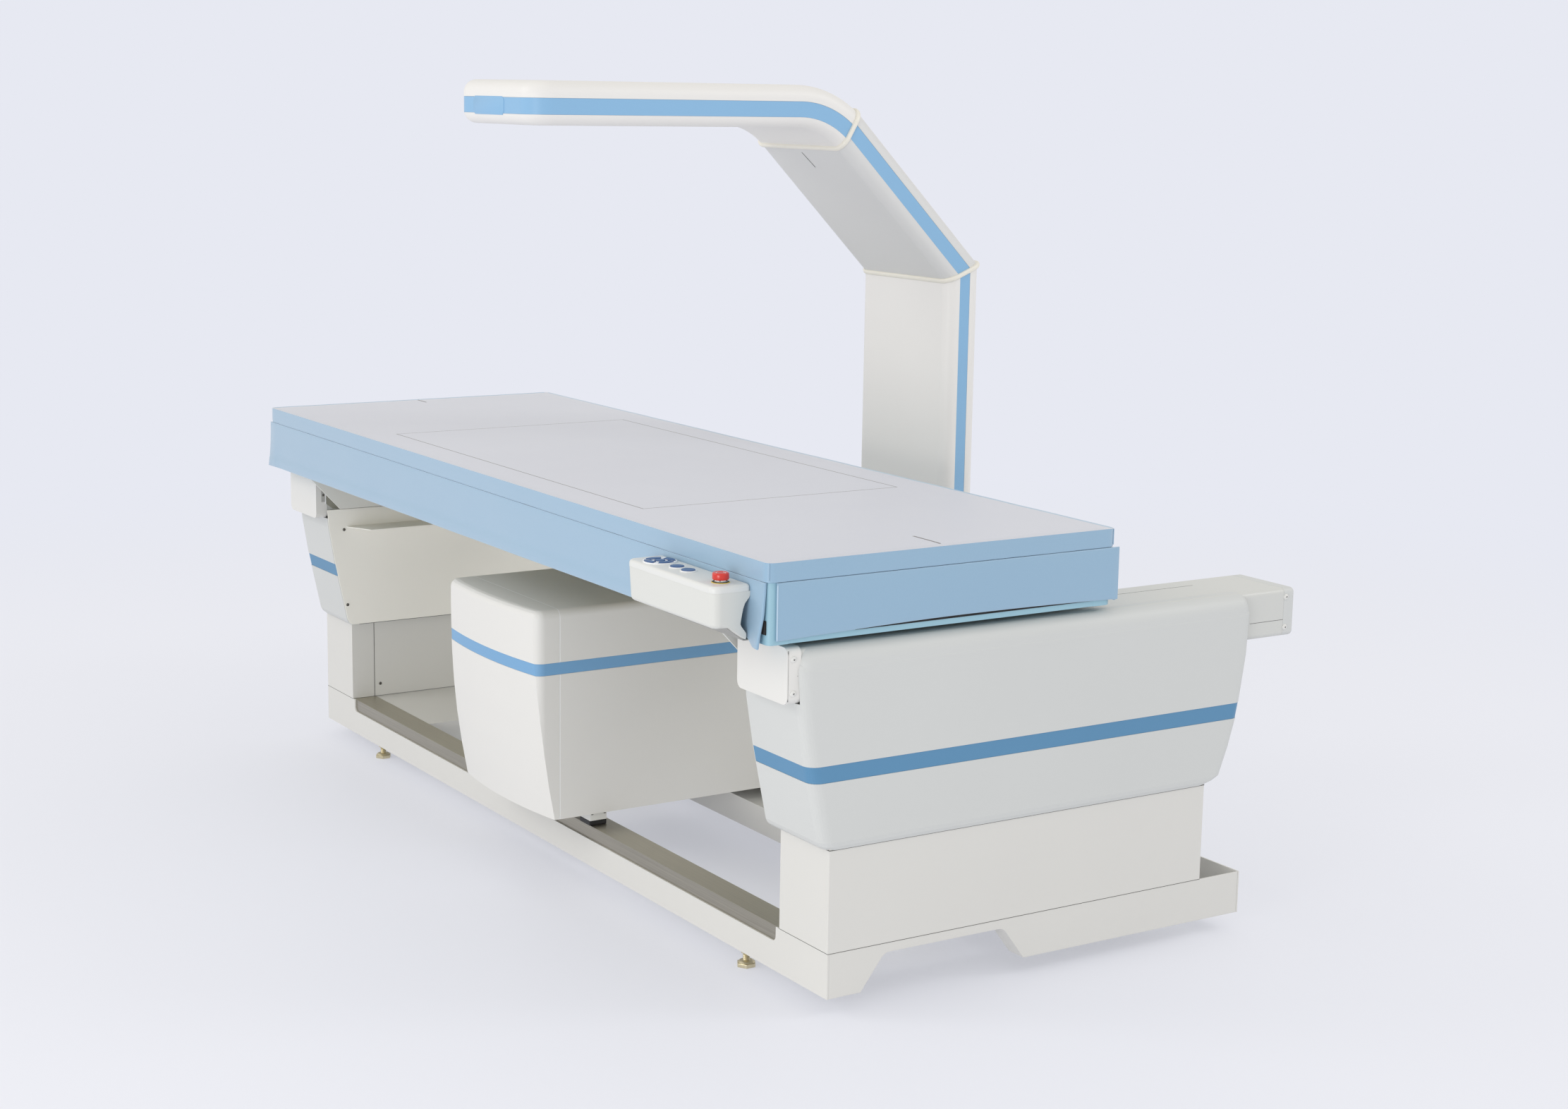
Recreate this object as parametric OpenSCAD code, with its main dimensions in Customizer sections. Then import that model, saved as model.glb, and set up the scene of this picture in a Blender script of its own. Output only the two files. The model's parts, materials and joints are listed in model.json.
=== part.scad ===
// Bone densitometer: a patient table on cross rails over a base frame, with a scanning
// C-arm whose lower tank runs along the base and whose detector arm reaches over the table.
// Millimetres. +X along the table, +Y from the operator to the column, +Z up, floor at 0.

/* [Base frame] */
// Length of the base frame
base_l = 2020; // [1700:10:2450]
// Depth of the base frame
base_w = 854; // [780:2:1030]
// Height of the front and rear beams
beam_h = 74; // [60:1:90]
// Depth of the front and rear beams
beam_w = 54; // [45:1:66]
// Height of the beams' underside above the floor
foot_h = 30; // [24:1:40]
// Thickness of the folded base sheet
base_sheet = 3; // [2:0.5:4]
// Height of runway steel showing above the front wall's long notch
notch_h = 25; // [15:1:30]
// Depth of the deck plate beside the left pedestal, along X
deck_l = 276; // [200:2:330]
// Distance of the deck's rear tray from the front of the base
tray_y = 340; // [300:1:420]
// Width of the carrying gap at the bottom of each end wall
carry_w = 322; // [260:2:380]
// Height of the carrying gap
carry_h = 58; // [45:1:60]
// Distance of the carrying gap's middle from the front of the base
carry_y = 225; // [215:5:260]

/* [Levelling feet] */
// Width of a foot across its flats
foot_d = 34; // [28:1:42]
// Diameter of the foot's stud
stud_d = 12; // [10:1:16]
// Distance of the feet from the base's ends
foot_inset = 265; // [200:5:340]

/* [Pedestals] */
// Width of a pedestal along X
ped_w = 141; // [120:1:168]
// Distance from a pedestal's back to the base's back edge
ped_back = 91; // [70:1:110]
// Height of a pedestal above the base
ped_h = 168; // [140:1:202]
// Thickness of the pedestal sheet
ped_sheet = 2; // [1.5:0.5:3]
// Side of a square support post
post_d = 80; // [60:1:90]

/* [Moulded covers] */
// Distance of the cover's inner edge from the end of the base
cover_w = 158; // [145:1:180]
// Distance that the cover's end face stands outside the base
cover_out = 6; // [4:0.5:12]
// Height of a cover
cover_h = 312; // [260:1:370]
// Flare of the cover at the front, at its top
flare_front = 64; // [50:1:80]
// Flare of the cover at the back, at its top
flare_back = 90; // [70:1:100]
// Wall of the cover
cover_wall = 4; // [3:0.5:6]
// Radius of the cover's upright corners
cover_r = 20; // [14:1:26]
// Radius of the cover's top edge
cover_top_r = 24; // [16:1:28]
// Width of the blue band
band_w = 27; // [20:1:34]
// Depth of the band's groove
band_d = 3; // [2:0.5:3]
// Height of the band's upper edge above the cover's bottom
band_up = 137; // [120:1:160]
// Width of the shelf folded from the inner panel
shelf_w = 60; // [40:1:70]
// Thickness of the inner panel's sheet
panel_sheet = 2; // [1.5:0.5:3]

/* [Cross rails] */
// Width of a cross rail's box
rail_w = 140; // [120:1:150]
// Height of a cross rail's box
rail_h = 84; // [70:1:95]
// Distance that the box stands above the cover
rail_above = 11; // [6:1:14]
// Distance of the front cap's face in front of the base
rail_front = 80; // [72:1:95]
// Distance of the rear cap's face behind the base
rail_back = 103; // [90:1:140]
// Depth of a rail's end cap
cap_d = 25; // [20:1:32]
// Wall of the rail's box
rail_wall = 3; // [2:0.5:4]
// Height of the guide bar
guide_h = 20; // [15:1:25]
// Depth of the guide bar from the side of the box
guide_d = 15; // [12:1:18]

/* [Table] */
// Distance that each end of the table stands out past the base
table_over = 1; // [0:1:60]
// Width of the table
table_w = 666; // [560:2:800]
// Distance of the table's front edge in front of the base, at rest
table_front = 120; // [100:1:140]
// Height of the table frame
frame_h = 84; // [70:1:100]
// Width of the table frame's members
frame_w = 30; // [24:1:40]
// Gap between the cross rails and the table frame
table_gap = 11; // [9:1:18]
// Thickness of the table top panel
top_t = 12; // [8:1:16]
// Thickness of the mat
mat_t = 30; // [24:1:36]
// Radius of the mat's corners
mat_r = 14; // [8:1:20]
// Thickness of the skirt's padded vinyl
skirt_t = 3.4; // [2.5:0.1:3.6]
// Drop of the skirt below the mat
skirt_drop = 92; // [80:1:94]
// Travel of the table towards the column
table_travel = 225; // [150:1:240]
// Thickness of the slide plates
slide_t = 4; // [3:1:6]
// Depth of the slide plates below the frame
slide_drop = 76; // [66:1:80]
// Length of a bearing block
block_l = 80; // [60:1:110]

/* [Control panel] */
// Length of the control panel
panel_l = 260; // [220:1:300]
// Depth of the control panel
panel_d = 66; // [62:1:80]
// Height of the panel's lower shell
panel_h = 55; // [46:1:60]
// Height of the panel's lid
lid_h = 10.5; // [9:0.5:14]
// Wall of the panel's mouldings
panel_wall = 2.5; // [2:0.5:3.5]
// Radius of the panel's upright corners
panel_r = 15; // [10:1:18]
// Distance from the panel to the table's right end
panel_in = 48; // [30:1:80]
// Diameter of the raised round keypad
pad_d = 54; // [50:1:60]
// Height of the raised round keypad
pad_h = 2; // [1.5:0.5:3]
// Diameter of the two single keys
key_d = 22; // [16:1:24]
// Travel of a key
key_travel = 1; // [0.6:0.1:1.2]
// Clearance around a key
key_gap = 0.4; // [0.3:0.1:0.6]
// Diameter of the emergency stop's red head
stop_d = 26; // [22:1:34]
// Height of the emergency stop's red head
stop_h = 11; // [9:0.5:16]
// Travel of the emergency stop
stop_travel = 2.5; // [2:0.5:4]

/* [C-arm] */
// Width of the arm and the column
arm_w = 300; // [250:1:340]
// Thickness of the arm and the column
arm_t = 77; // [68:1:90]
// Radius of the arm's long edges
arm_r = 23; // [16:1:24]
// Height of the arm's centre above the floor
arm_z = 1393; // [1200:1:1660]
// Distance of the arm's tip in front of the base
arm_front = 103; // [60:1:160]
// Radius of the bend at the top, on the arm's centre
bend_r = 170; // [150:1:210]
// Distance from the arm's tip to the start of the bend
arm_reach = 550; // [460:1:600]
// Angle at which the upper ring sits in the bend
ring_turn = 41; // [36:1:42]
// Lean of the upper ring
ring_lean = 30; // [26:1:36]
// Depth of the column's centre from the base's back edge
column_back = 25.5; // [20:0.5:60]
// Wall of the arm's covers
arm_wall = 3; // [2:0.5:4]
// Radius of the tip's corners, seen from above
tip_r = 45; // [35:1:60]
// Width of the blue band along the arm
arm_band = 28.5; // [20:0.5:30]
// Distance of the arm's band below the middle of its side
band_drop = 5.5; // [0:0.5:6]
// Width of the blue band along the slanted part
slant_band = 27.5; // [20:0.5:30]
// Width of the blue band along the column
column_band = 23.5; // [18:0.5:30]
// Depth of the bands' grooves
arm_band_d = 2.5; // [1.5:0.5:3]
// Width of the rings at the bends
ring_w = 9; // [6:1:12]
// Height of the rings above the covers
ring_out = 5; // [3:0.5:7]
// Slope of the slanted part
slant = 45; // [40:1:50]

/* [Tank] */
// Width of the tank
tank_w = 363; // [320:1:420]
// Height of the tank
tank_h = 384; // [320:1:420]
// Gap between the base and the tank
tank_gap = 24; // [20:1:30]
// Distance of the tank's seam in front of the base
seam_front = 63; // [55:1:75]
// Depth of the bulged front cover at its corners, at the top
nose_d = 47; // [42:1:56]
// Extra depth of the front cover at its middle
nose_bulge = 14.5; // [10:0.5:24]
// Distance that the front cover tucks in at the bottom
nose_tuck = 36; // [20:1:40]
// Distance of the tank's back behind the base
tank_back = 22; // [20:1:60]
// Wall of the tank's covers
tank_wall = 4; // [3:0.5:6]
// Radius of the tank's edges
tank_r = 14; // [10:1:18]
// Width of the tank's blue band
tank_band = 22; // [16:1:28]
// Height of the band's centre below the tank's top
tank_band_down = 106; // [90:1:130]
// Place of the C-arm's centre along X, at rest
arm_rest = 50; // [-100:5:100]
// Travel of the C-arm to each side of the table's middle
arm_travel = 505; // [400:5:520]

/* [Hidden] */

$fn = 48;
play = 0.3;      // gap at a sliding face
seat = 0.3;      // gap at a soft or curved seat
cut = 5;         // overshoot of a cutting shape

// Base levels and edges
end_x = base_l / 2;
base_top = foot_h + beam_h;
ped_top = base_top + ped_h;
ped_y = base_w - ped_back;
ped_in = end_x - ped_w;
foot_y = beam_w * 0.3;

// Cover levels
cover_top = ped_top + cover_h;
cover_in = end_x - cover_w;
band_top = ped_top + band_up;
band_low = band_top - band_w;

// Cross rail levels
rail_top = cover_top + rail_above;
rail_z = rail_top - rail_h;
rail_out = end_x - 7;
rail_in = rail_out - rail_w;
rail_y0 = -rail_front + cap_d;
rail_y1 = base_w + rail_back - cap_d;
guide_z = rail_z + rail_h * 0.62;
guide_x = rail_in - guide_d;

// Table levels
frame_z = rail_top + table_gap;
top_z = frame_z + frame_h;
mat_z = top_z + top_t;
table_x = end_x + table_over;
table_y0 = -table_front;
table_y1 = table_y0 + table_w;
skirt_in = skirt_t + seat;
block_wall = 8;
slide_x = guide_x - play - block_wall - slide_t;
slide_z = frame_z - slide_drop;
block_ys = [0, 330];

// Control panel places
panel_x1 = table_x - panel_in;
panel_x0 = panel_x1 - panel_l;
panel_y1 = table_y0 - 0.5;
panel_y0 = panel_y1 - panel_d;
lid_z = mat_z - 19;
lid_top = lid_z + lid_h;
panel_z = lid_z - panel_h;
pad_x = panel_x0 + 42;
pad_y = (panel_y0 + panel_y1) / 2;
pad_top = lid_top + pad_h;
key_one_x = pad_x + pad_d / 2 + 16.5 + key_d / 2;
key_two_x = key_one_x + key_d + 12;
key_h = 5.5;
stop_x = panel_x1 - 33;
stop_ring_h = 1.5;
stop_z = lid_top + stop_ring_h + stop_travel + 0.3;

// C-arm path: arm, bend, slant and column, on their centre lines
tip_y = -arm_front;
bend_y = tip_y + arm_reach;
hub_z = arm_z - bend_r;
bend_end = [bend_y + bend_r * sin(slant), hub_z + bend_r * cos(slant)];
column_y = base_w - column_back;
knee_z = bend_end[1] - (column_y - bend_end[0]) * tan(slant);
slant_l = (column_y - bend_end[0]) / cos(slant);
ring_c = [bend_y + bend_r * sin(ring_turn), hub_z + bend_r * cos(ring_turn)];

// Tank levels
tank_z = base_top + tank_gap;
tank_top = tank_z + tank_h;
tank_y0 = -seam_front;
tank_y1 = base_w + tank_back;
tank_x = tank_w / 2;
tank_band_z = tank_top - tank_band_down;
block_h = 9;
block_z = base_top + play;
carriage_z = tank_z + 6;
carriage_t = 14;

// The whole is drawn about the middle of its footprint
front_most = panel_y0;
rear_most = base_w + rail_back;
mid_y = (front_most + rear_most) / 2;

// ---------- shared shapes ----------

module place() translate([0, -mid_y, 0]) children();
module place_arm() place() translate([arm_rest, 0, 0]) children();

// Turns a right-hand piece into its left-hand twin
module on_side(side) mirror([side < 0 ? 1 : 0, 0, 0]) children();

// Rectangle with round corners, centred
module round_rect(w, h, r) {
  square([w - 2 * r, h], center = true);
  square([w, h - 2 * r], center = true);
  for (x = [-1, 1], y = [-1, 1]) translate([x * (w / 2 - r), y * (h / 2 - r)]) circle(r);
}

// Block between two corners
module block(a, b) translate(a) cube(b - a);

// Block with round upright corners, between two corners
module round_block(a, b, r)
  translate([(a[0] + b[0]) / 2, (a[1] + b[1]) / 2, a[2]])
    linear_extrude(b[2] - a[2]) round_rect(b[0] - a[0], b[1] - a[1], r);

// Outline with the top outer corner rounded, from the axis outwards
module edge_outline(r, h, top_r)
  difference() {
    square([r, h]);
    translate([r - top_r, h - top_r]) difference() {
      square(top_r + 1);
      circle(top_r);
    }
  }

// Plate with round upright corners and a round top edge, between two corners
module soft_plate(a, b, r, top_r) {
  size = b - a;
  for (x = [0, 1], y = [0, 1])
    translate([a[0] + r + x * (size[0] - 2 * r), a[1] + r + y * (size[1] - 2 * r), a[2]])
      rotate(x == 1 ? (y == 1 ? 0 : 270) : (y == 1 ? 90 : 180))
        rotate_extrude(angle = 90) edge_outline(r, size[2], top_r);
  for (y = [0, 1])
    translate([y == 1 ? a[0] + r : b[0] - r, y == 1 ? b[1] - r : a[1] + r, a[2]])
      rotate([90, 0, y == 1 ? 90 : 270])
        linear_extrude(size[0] - 2 * r) edge_outline(r, size[2], top_r);
  for (x = [0, 1])
    translate([x == 1 ? b[0] - r : a[0] + r, x == 1 ? b[1] - r : a[1] + r, a[2]])
      rotate([90, 0, x == 1 ? 0 : 180])
        linear_extrude(size[1] - 2 * r) edge_outline(r, size[2], top_r);
  block([a[0] + r, a[1] + r, a[2]], [b[0] - r, b[1] - r, b[2]]);
}

// Outline in Y and Z, drawn out along X between two places
module along_x(x0, x1) translate([x0, 0, 0]) rotate([90, 0, 90]) linear_extrude(x1 - x0) children();

// ---------- base frame ----------

// Beam with an open top: outer wall, floor and inner wall
module beam() {
  wall_top = base_top - notch_h;
  difference() {
    block([-end_x, 0, foot_h], [end_x, base_sheet, base_top]);
    translate([0, -cut, 0]) rotate([-90, 0, 0]) translate([0, -wall_top - 30, 0])
      linear_extrude(base_sheet + 2 * cut) round_rect(2 * (ped_in - 10), 60, 10);
  }
  difference() {
    block([-end_x + base_sheet, base_sheet, foot_h],
          [end_x - base_sheet, beam_w, foot_h + base_sheet]);
    for (x = [-1, 1]) translate([x * (end_x - foot_inset), foot_y, foot_h - cut])
      cylinder(d = stud_d + 0.5, h = base_sheet + 2 * cut);
  }
  block([-ped_in, beam_w - base_sheet, foot_h + base_sheet],
        [ped_in, beam_w, base_top - base_sheet]);
}

module front_beam() color("ivory") place() beam();
module rear_beam() color("ivory") place() translate([0, base_w, 0]) mirror([0, 1, 0]) beam();

// Outline of the carrying gap, with round upper corners
arch_lean = 44;
arch_r = 20;
module arch_outline(grow) {
  turn = atan(carry_h / arch_lean);
  x = carry_w / 2 - arch_lean - arch_r * tan(turn / 2);
  low = carry_w / 2 + grow / sin(turn) + cut * arch_lean / carry_h;
  corner = [for (a = [90 : -turn / 4 : 90 - turn]) [x, carry_h - arch_r]
    + (arch_r + grow) * [cos(a), sin(a)]];
  polygon(concat([[-low, -cut]], [for (i = [4 : -1 : 0]) [-corner[i][0], corner[i][1]]],
                 corner, [[low, -cut]]));
}

// End wall with its carrying gap and turned rim, the inner wall and the plate for the pedestal
module end_frame() {
  x = end_x - base_sheet;
  difference() {
    union() {
      block([x, base_sheet, foot_h], [end_x, base_w - base_sheet, base_top]);
      block([ped_in, base_sheet, base_top - base_sheet], [x, ped_y, base_top]);
      block([ped_in, beam_w, foot_h],
            [ped_in + base_sheet, base_w - beam_w, base_top - base_sheet]);
      intersection() {
        along_x(end_x - 40, x) translate([carry_y, foot_h]) arch_outline(base_sheet);
        block([end_x - 40, beam_w, foot_h], [x, base_w - beam_w, base_top - base_sheet]);
      }
    }
    along_x(end_x - 40 - cut, end_x + cut) translate([carry_y, foot_h]) arch_outline(0);
  }
}

module right_end_frame() color("ivory") place() end_frame();
module left_end_frame() color("ivory") place() on_side(-1) end_frame();

// Plate between the beams beside the left pedestal, and the tray along the back
module equipment_deck() color("ivory") place() {
  x0 = -ped_in;
  x1 = ped_in;
  y0 = beam_w;
  y1 = base_w - beam_w;
  low = foot_h + 20;
  difference() {
    union() {
      block([x0, y0, low], [x0 + deck_l, y1, base_top - 1]);
      block([x0 + deck_l - 1, tray_y, low], [x1, y1, base_top - 1]);
    }
    block([x0 + base_sheet, y0 + base_sheet, low - cut],
          [x0 + deck_l - base_sheet, y1 - base_sheet, base_top - 1 - base_sheet]);
    block([x0 + deck_l, tray_y + base_sheet, low - cut],
          [x1 - base_sheet, y1 - base_sheet, base_top - 1 - base_sheet]);
  }
}

// Folded steel runway that closes a beam's top between the pedestals
module runway() {
  x = ped_in - seat;
  block([-x, base_sheet, base_top - base_sheet], [x, beam_w, base_top]);
  block([-x, base_sheet, base_top - notch_h - 8],
        [x, base_sheet + 2, base_top - base_sheet]);
}

module runways() color("silver") place() {
  runway();
  translate([0, base_w, 0]) mirror([0, 1, 0]) runway();
}

// Hexagonal pad, stud and lock nut
module foot() {
  cylinder(d = foot_d, h = 7, $fn = 6);
  translate([0, 0, 7]) cylinder(d1 = foot_d - 6, d2 = stud_d + 6, h = 4, $fn = 32);
  translate([0, 0, 11]) cylinder(d = stud_d, h = foot_h + base_sheet + 12 - 11);
  translate([0, 0, foot_h - 7]) cylinder(d = stud_d + 8, h = 7, $fn = 6);
}

module levelling_feet() color("darkkhaki") place()
  for (x = [-1, 1], y = [foot_y, base_w - foot_y])
    translate([x * (end_x - foot_inset), y, 0]) foot();

// ---------- pedestals ----------

ped_over = 28;      // height of pedestal sheet inside the cover
ped_fit = 0.5;      // gap between the pedestal and the cover's floor

module pedestal() {
  difference() {
    block([ped_in, 0, base_top], [end_x, ped_y, ped_top + ped_over]);
    block([ped_in + ped_sheet, ped_sheet, base_top - cut],
          [end_x - ped_sheet, ped_y - ped_sheet, ped_top + ped_over + cut]);
    block([ped_in - cut, beam_w - 3.5, base_top - cut],
          [ped_in + 1, beam_w - 2.5, ped_top + ped_over + cut]);
  }
}

module right_pedestal() color("ivory") place() pedestal();
module left_pedestal() color("ivory") place() on_side(-1) pedestal();

// Square tubes that carry the cross rails
module support_posts() color("slategray") place()
  for (side = [-1, 1]) on_side(side)
    for (y = [60, ped_y - 60 - post_d])
      difference() {
        x = (ped_in + end_x - post_d) / 2;
        block([x, y, base_top], [x + post_d, y + post_d, rail_z]);
        block([x + 4, y + 4, base_top - cut], [x + post_d - 4, y + post_d - 4, rail_z + cut]);
      }

// ---------- moulded covers ----------

// Levels of the cover's outline: height above its floor, then the front and back flare
// as shares of the whole flare, and the step in at the end
cover_rows = [
  [0, 0.08, 0.06, 4], [6, 0.20, 0.27, 1.2], [13, 0.26, 0.41, 0], [61, 0.42, 0.61, 0],
  [107, 0.57, 0.76, 0], [140, 0.68, 0.83, 0], [218, 0.88, 0.96, 0]
];

// Height, front edge, back edge and end of one level
function cover_slice(z, front, back, step_y, step_x) = [ped_top + z,
  -front * flare_front - 1 + step_y, ped_y + back * flare_back - step_y,
  end_x + cover_out - step_x];

function cover_slices() = concat(
  [for (row = cover_rows) cover_slice(row[0] * cover_h / 312, row[1], row[2], 0, row[3])],
  [for (turn = [0 : 22.5 : 90])
    cover_slice(cover_h - cover_top_r * (1 - sin(turn)), 0.97 + 0.03 * sin(turn), 1,
                cover_top_r * (1 - cos(turn)), cover_top_r * (1 - cos(turn)))]);

// One thin level of the cover, square at the inner edge and round at the outer corners
module cover_level(slice, inset) {
  r = cover_r - inset;
  x = slice[3] - inset;
  y0 = slice[1] + inset;
  y1 = slice[2] - inset;
  translate([0, 0, slice[0]]) {
    translate([cover_in - inset, y0, 0]) cube([20, y1 - y0, 0.02]);
    for (y = [y0 + r, y1 - r]) translate([x - r, y, 0]) cylinder(r = r, h = 0.02, $fn = 32);
  }
}

module cover_form(inset) hull() for (slice = cover_slices()) cover_level(slice, inset);

// Opening that the cross rail and the front cap pass through
module rail_passage(gap)
  block([cover_in - cut, -rail_front - cut, rail_z - 2 - gap],
        [rail_out + 2 + gap, rear_most + cut, cover_top + cut]);

module band_zone(gap)
  block([cover_in - cut, -200, band_low + gap], [end_x + 60, base_w + 200, band_top - gap]);

module cover() difference() {
  cover_form(0);
  difference() {
    translate([0, 0, cover_wall]) cover_form(cover_wall);
    band_floor();
  }
  block([ped_in - ped_fit, -ped_fit, ped_top - cut],
        [end_x + ped_fit, ped_y + ped_fit, ped_top + ped_over + cut]);
  rail_passage(seat);
  difference() {
    band_zone(0);
    cover_form(band_d);
  }
}

// Extra wall behind the band's groove
module band_floor() difference() {
  block([cover_in - cut, -200, band_low - 5], [end_x + 60, base_w + 200, band_top + 5]);
  cover_form(band_d + cover_wall);
}

module right_cover() color("ivory") place() cover();
module left_cover() color("ivory") place() on_side(-1) cover();

// Blue strip lying in the groove
module cover_band() difference() {
  intersection() {
    cover_form(0.6);
    band_zone(0.2);
    block([cover_in, -200, 0], [end_x + 60, base_w + 200, cover_top]);
  }
  cover_form(band_d);
}

module right_cover_band() color("steelblue") place() cover_band();
module left_cover_band() color("steelblue") place() on_side(-1) cover_band();

// Flat sheet that closes the cover's inner side, with a shelf folded out of it
panel_top = rail_z + 16;
shelf_z = rail_z - 24;

module inner_panel() {
  x = cover_in - panel_sheet;
  intersection() {
    block([x, -200, ped_top + 1], [cover_in, base_w + 200, panel_top]);
    translate([-20, 0, 0]) cover_form(1);
  }
  panel_shelf(x);
}

module panel_shelf(x)
  translate([0, 0, shelf_z]) linear_extrude(panel_sheet)
    polygon([[x, -16], [x, ped_y - 20], [x - shelf_w, ped_y - 20 - shelf_w / 2],
             [x - shelf_w, -16 + shelf_w / 2]]);

module right_inner_panel() color("ivory") place() inner_panel();
module left_inner_panel() color("ivory") place() on_side(-1) inner_panel();

// ---------- cross rails ----------

module rail_section(inset)
  translate([(rail_in + rail_out) / 2, (rail_z + rail_top) / 2])
    round_rect(rail_w - 2 * inset, rail_h - 2 * inset, 9 - inset);

module along_y(y0, y1) translate([0, y1, 0]) rotate([90, 0, 0]) linear_extrude(y1 - y0) children();

module cross_rail() difference() {
  along_y(rail_y0, rail_y1) rail_section(0);
  along_y(rail_y0 - cut, rail_y1 + cut) rail_section(rail_wall);
}

module right_cross_rail() color("ivory") place() cross_rail();
module left_cross_rail() color("ivory") place() on_side(-1) cross_rail();

// Moulded front cap with a crowned lower edge, open towards the rail
module front_cap() {
  x0 = rail_in - 2;
  x1 = rail_out + 2;
  z0 = rail_z - 2;
  z1 = rail_top + 3;
  difference() {
    round_block_y([x0, -rail_front, z0], [x1, rail_y0 - seat, z1], 12);
    round_block_y([x0 + 3, -rail_front + 3, z0 + 3], [x1 - 3, rail_y0 + cut, z1 - 3], 9);
  }
}

// Block with corners rounded as seen from the front
module round_block_y(a, b, r)
  translate([(a[0] + b[0]) / 2, b[1], (a[2] + b[2]) / 2]) rotate([90, 0, 0])
    linear_extrude(b[1] - a[1]) round_rect(b[0] - a[0], b[2] - a[2], r);

module right_front_cap() color("white") place() front_cap();
module left_front_cap() color("white") place() on_side(-1) front_cap();

module rail_rear_caps() color("white") place() for (side = [-1, 1]) on_side(side)
  difference() {
    along_y(rail_y1, rail_y1 + cap_d) rail_section(0);
    along_y(rail_y1 - cut, rail_y1 + cap_d - 3) rail_section(rail_wall);
  }

// Hardened bars on the inner sides of the cross rails
guide_y0 = -30;
module guide_bars() color("silver") place() for (side = [-1, 1]) on_side(side)
  block([guide_x, guide_y0, guide_z - guide_h / 2], [rail_in, rail_y1 - 20, guide_z + guide_h / 2]);

// Motor on the right shelf, and the screw that moves the table
motor_d = 34;
screw_z = shelf_z + panel_sheet + motor_d / 2 + 2;
screw_x = cover_in - panel_sheet - motor_d / 2 - 3;
screw_y0 = 120;
nut_y = screw_y0 + 60;
nut_l = 40;
motor_y = nut_y + nut_l + table_travel + 90;
module table_drive() color("dimgray") place() {
  translate([screw_x, screw_y0, screw_z]) rotate([-90, 0, 0])
    cylinder(d = 14, h = motor_y - screw_y0);
  translate([screw_x, motor_y, screw_z]) rotate([-90, 0, 0]) cylinder(d = motor_d, h = 100);
  for (y = [screw_y0 + 4, motor_y - 20, motor_y + 70])
    block([screw_x - 12, y, shelf_z + panel_sheet], [screw_x + 12, y + 12, screw_z]);
}

// Belt stretched along the rear tray between two clamps
belt_y = base_w - beam_w - 20;
belt_x = arm_travel + 160;
module drive_belt() color("dimgray") place() {
  block([-belt_x, belt_y - 7.5, base_top + 4], [belt_x, belt_y + 7.5, base_top + 5.6]);
  for (x = [-belt_x, belt_x - 24])
    block([x, belt_y - 12, base_top - 1], [x + 24, belt_y + 12, base_top + 8]);
}

// ---------- table ----------

module table_frame() color("lightblue") place() {
  x = table_x - skirt_in - 0.4;
  y0 = table_y0 + skirt_in + 0.4;
  y1 = table_y1 - skirt_in - 0.4;
  difference() {
    block([-x, y0, frame_z], [x, y1, top_z]);
    block([-x + frame_w, y0 + frame_w, frame_z - cut], [x - frame_w, y1 - frame_w, top_z + cut]);
  }
  for (cx = [-slide_x - slide_t / 2, 0, slide_x + slide_t / 2])
    block([cx - frame_w / 2, y0 + frame_w - 1, frame_z], [cx + frame_w / 2, y1 - frame_w + 1, top_z]);
}

module table_top() color("gainsboro") place()
  block([-table_x + skirt_in, table_y0 + skirt_in, top_z],
        [table_x - skirt_in, table_y1 - skirt_in, mat_z]);

module mat() color("lightsteelblue") place()
  soft_plate([-table_x, table_y0, mat_z], [table_x, table_y1, mat_z + mat_t], mat_r, 6);

skirt_top = mat_z - seat;
skirt_low = mat_z - skirt_drop;
flap = 16;       // length of bare corner between the front skirt and the end skirt

module front_skirt() color("lightskyblue") place()
  block([-table_x, table_y0, skirt_low], [table_x - flap, table_y0 + skirt_t, skirt_top]);
module rear_skirt() color("lightskyblue") place()
  block([-table_x, table_y1 - skirt_t, skirt_low], [table_x, table_y1, skirt_top]);
module end_skirt(y0)
  block([table_x - skirt_t, y0, skirt_low], [table_x, table_y1 - skirt_t - seat, skirt_top]);
module right_skirt() color("lightskyblue") place() end_skirt(table_y0 + flap);
module left_skirt() color("lightskyblue") place() on_side(-1) end_skirt(table_y0 + skirt_t + seat);

// Plates with a slanted front edge that carry the table on its bearing blocks
module slide_plates() color("gainsboro") place() for (side = [-1, 1]) on_side(side) {
  y1 = block_ys[1] + block_l + 70;
  along_x(slide_x, slide_x + slide_t)
    polygon([[table_y0 + 12, frame_z], [table_y0 + 12 + slide_drop * 0.95, slide_z],
             [y1 - 30, slide_z], [y1, frame_z]]);
}

// Blocks that grip the guide bars, and the nut on the screw
module bearing_blocks() color("dimgray") place() {
  for (side = [-1, 1], y = block_ys) on_side(side) difference() {
    block([slide_x + slide_t, y, guide_z - guide_h / 2 - 10],
          [rail_in - 5, y + block_l, guide_z + guide_h / 2 + 10]);
    block([guide_x - play, y - cut, guide_z - guide_h / 2 - play],
          [rail_in, y + block_l + cut, guide_z + guide_h / 2 + play]);
  }
  difference() {
    block([screw_x - 12, nut_y, screw_z - 12], [screw_x + 12, nut_y + nut_l, slide_z]);
    translate([screw_x, nut_y - cut, screw_z]) rotate([-90, 0, 0])
      cylinder(d = 14 + 2 * play, h = nut_l + 2 * cut);
  }
}

// ---------- control panel ----------

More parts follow.
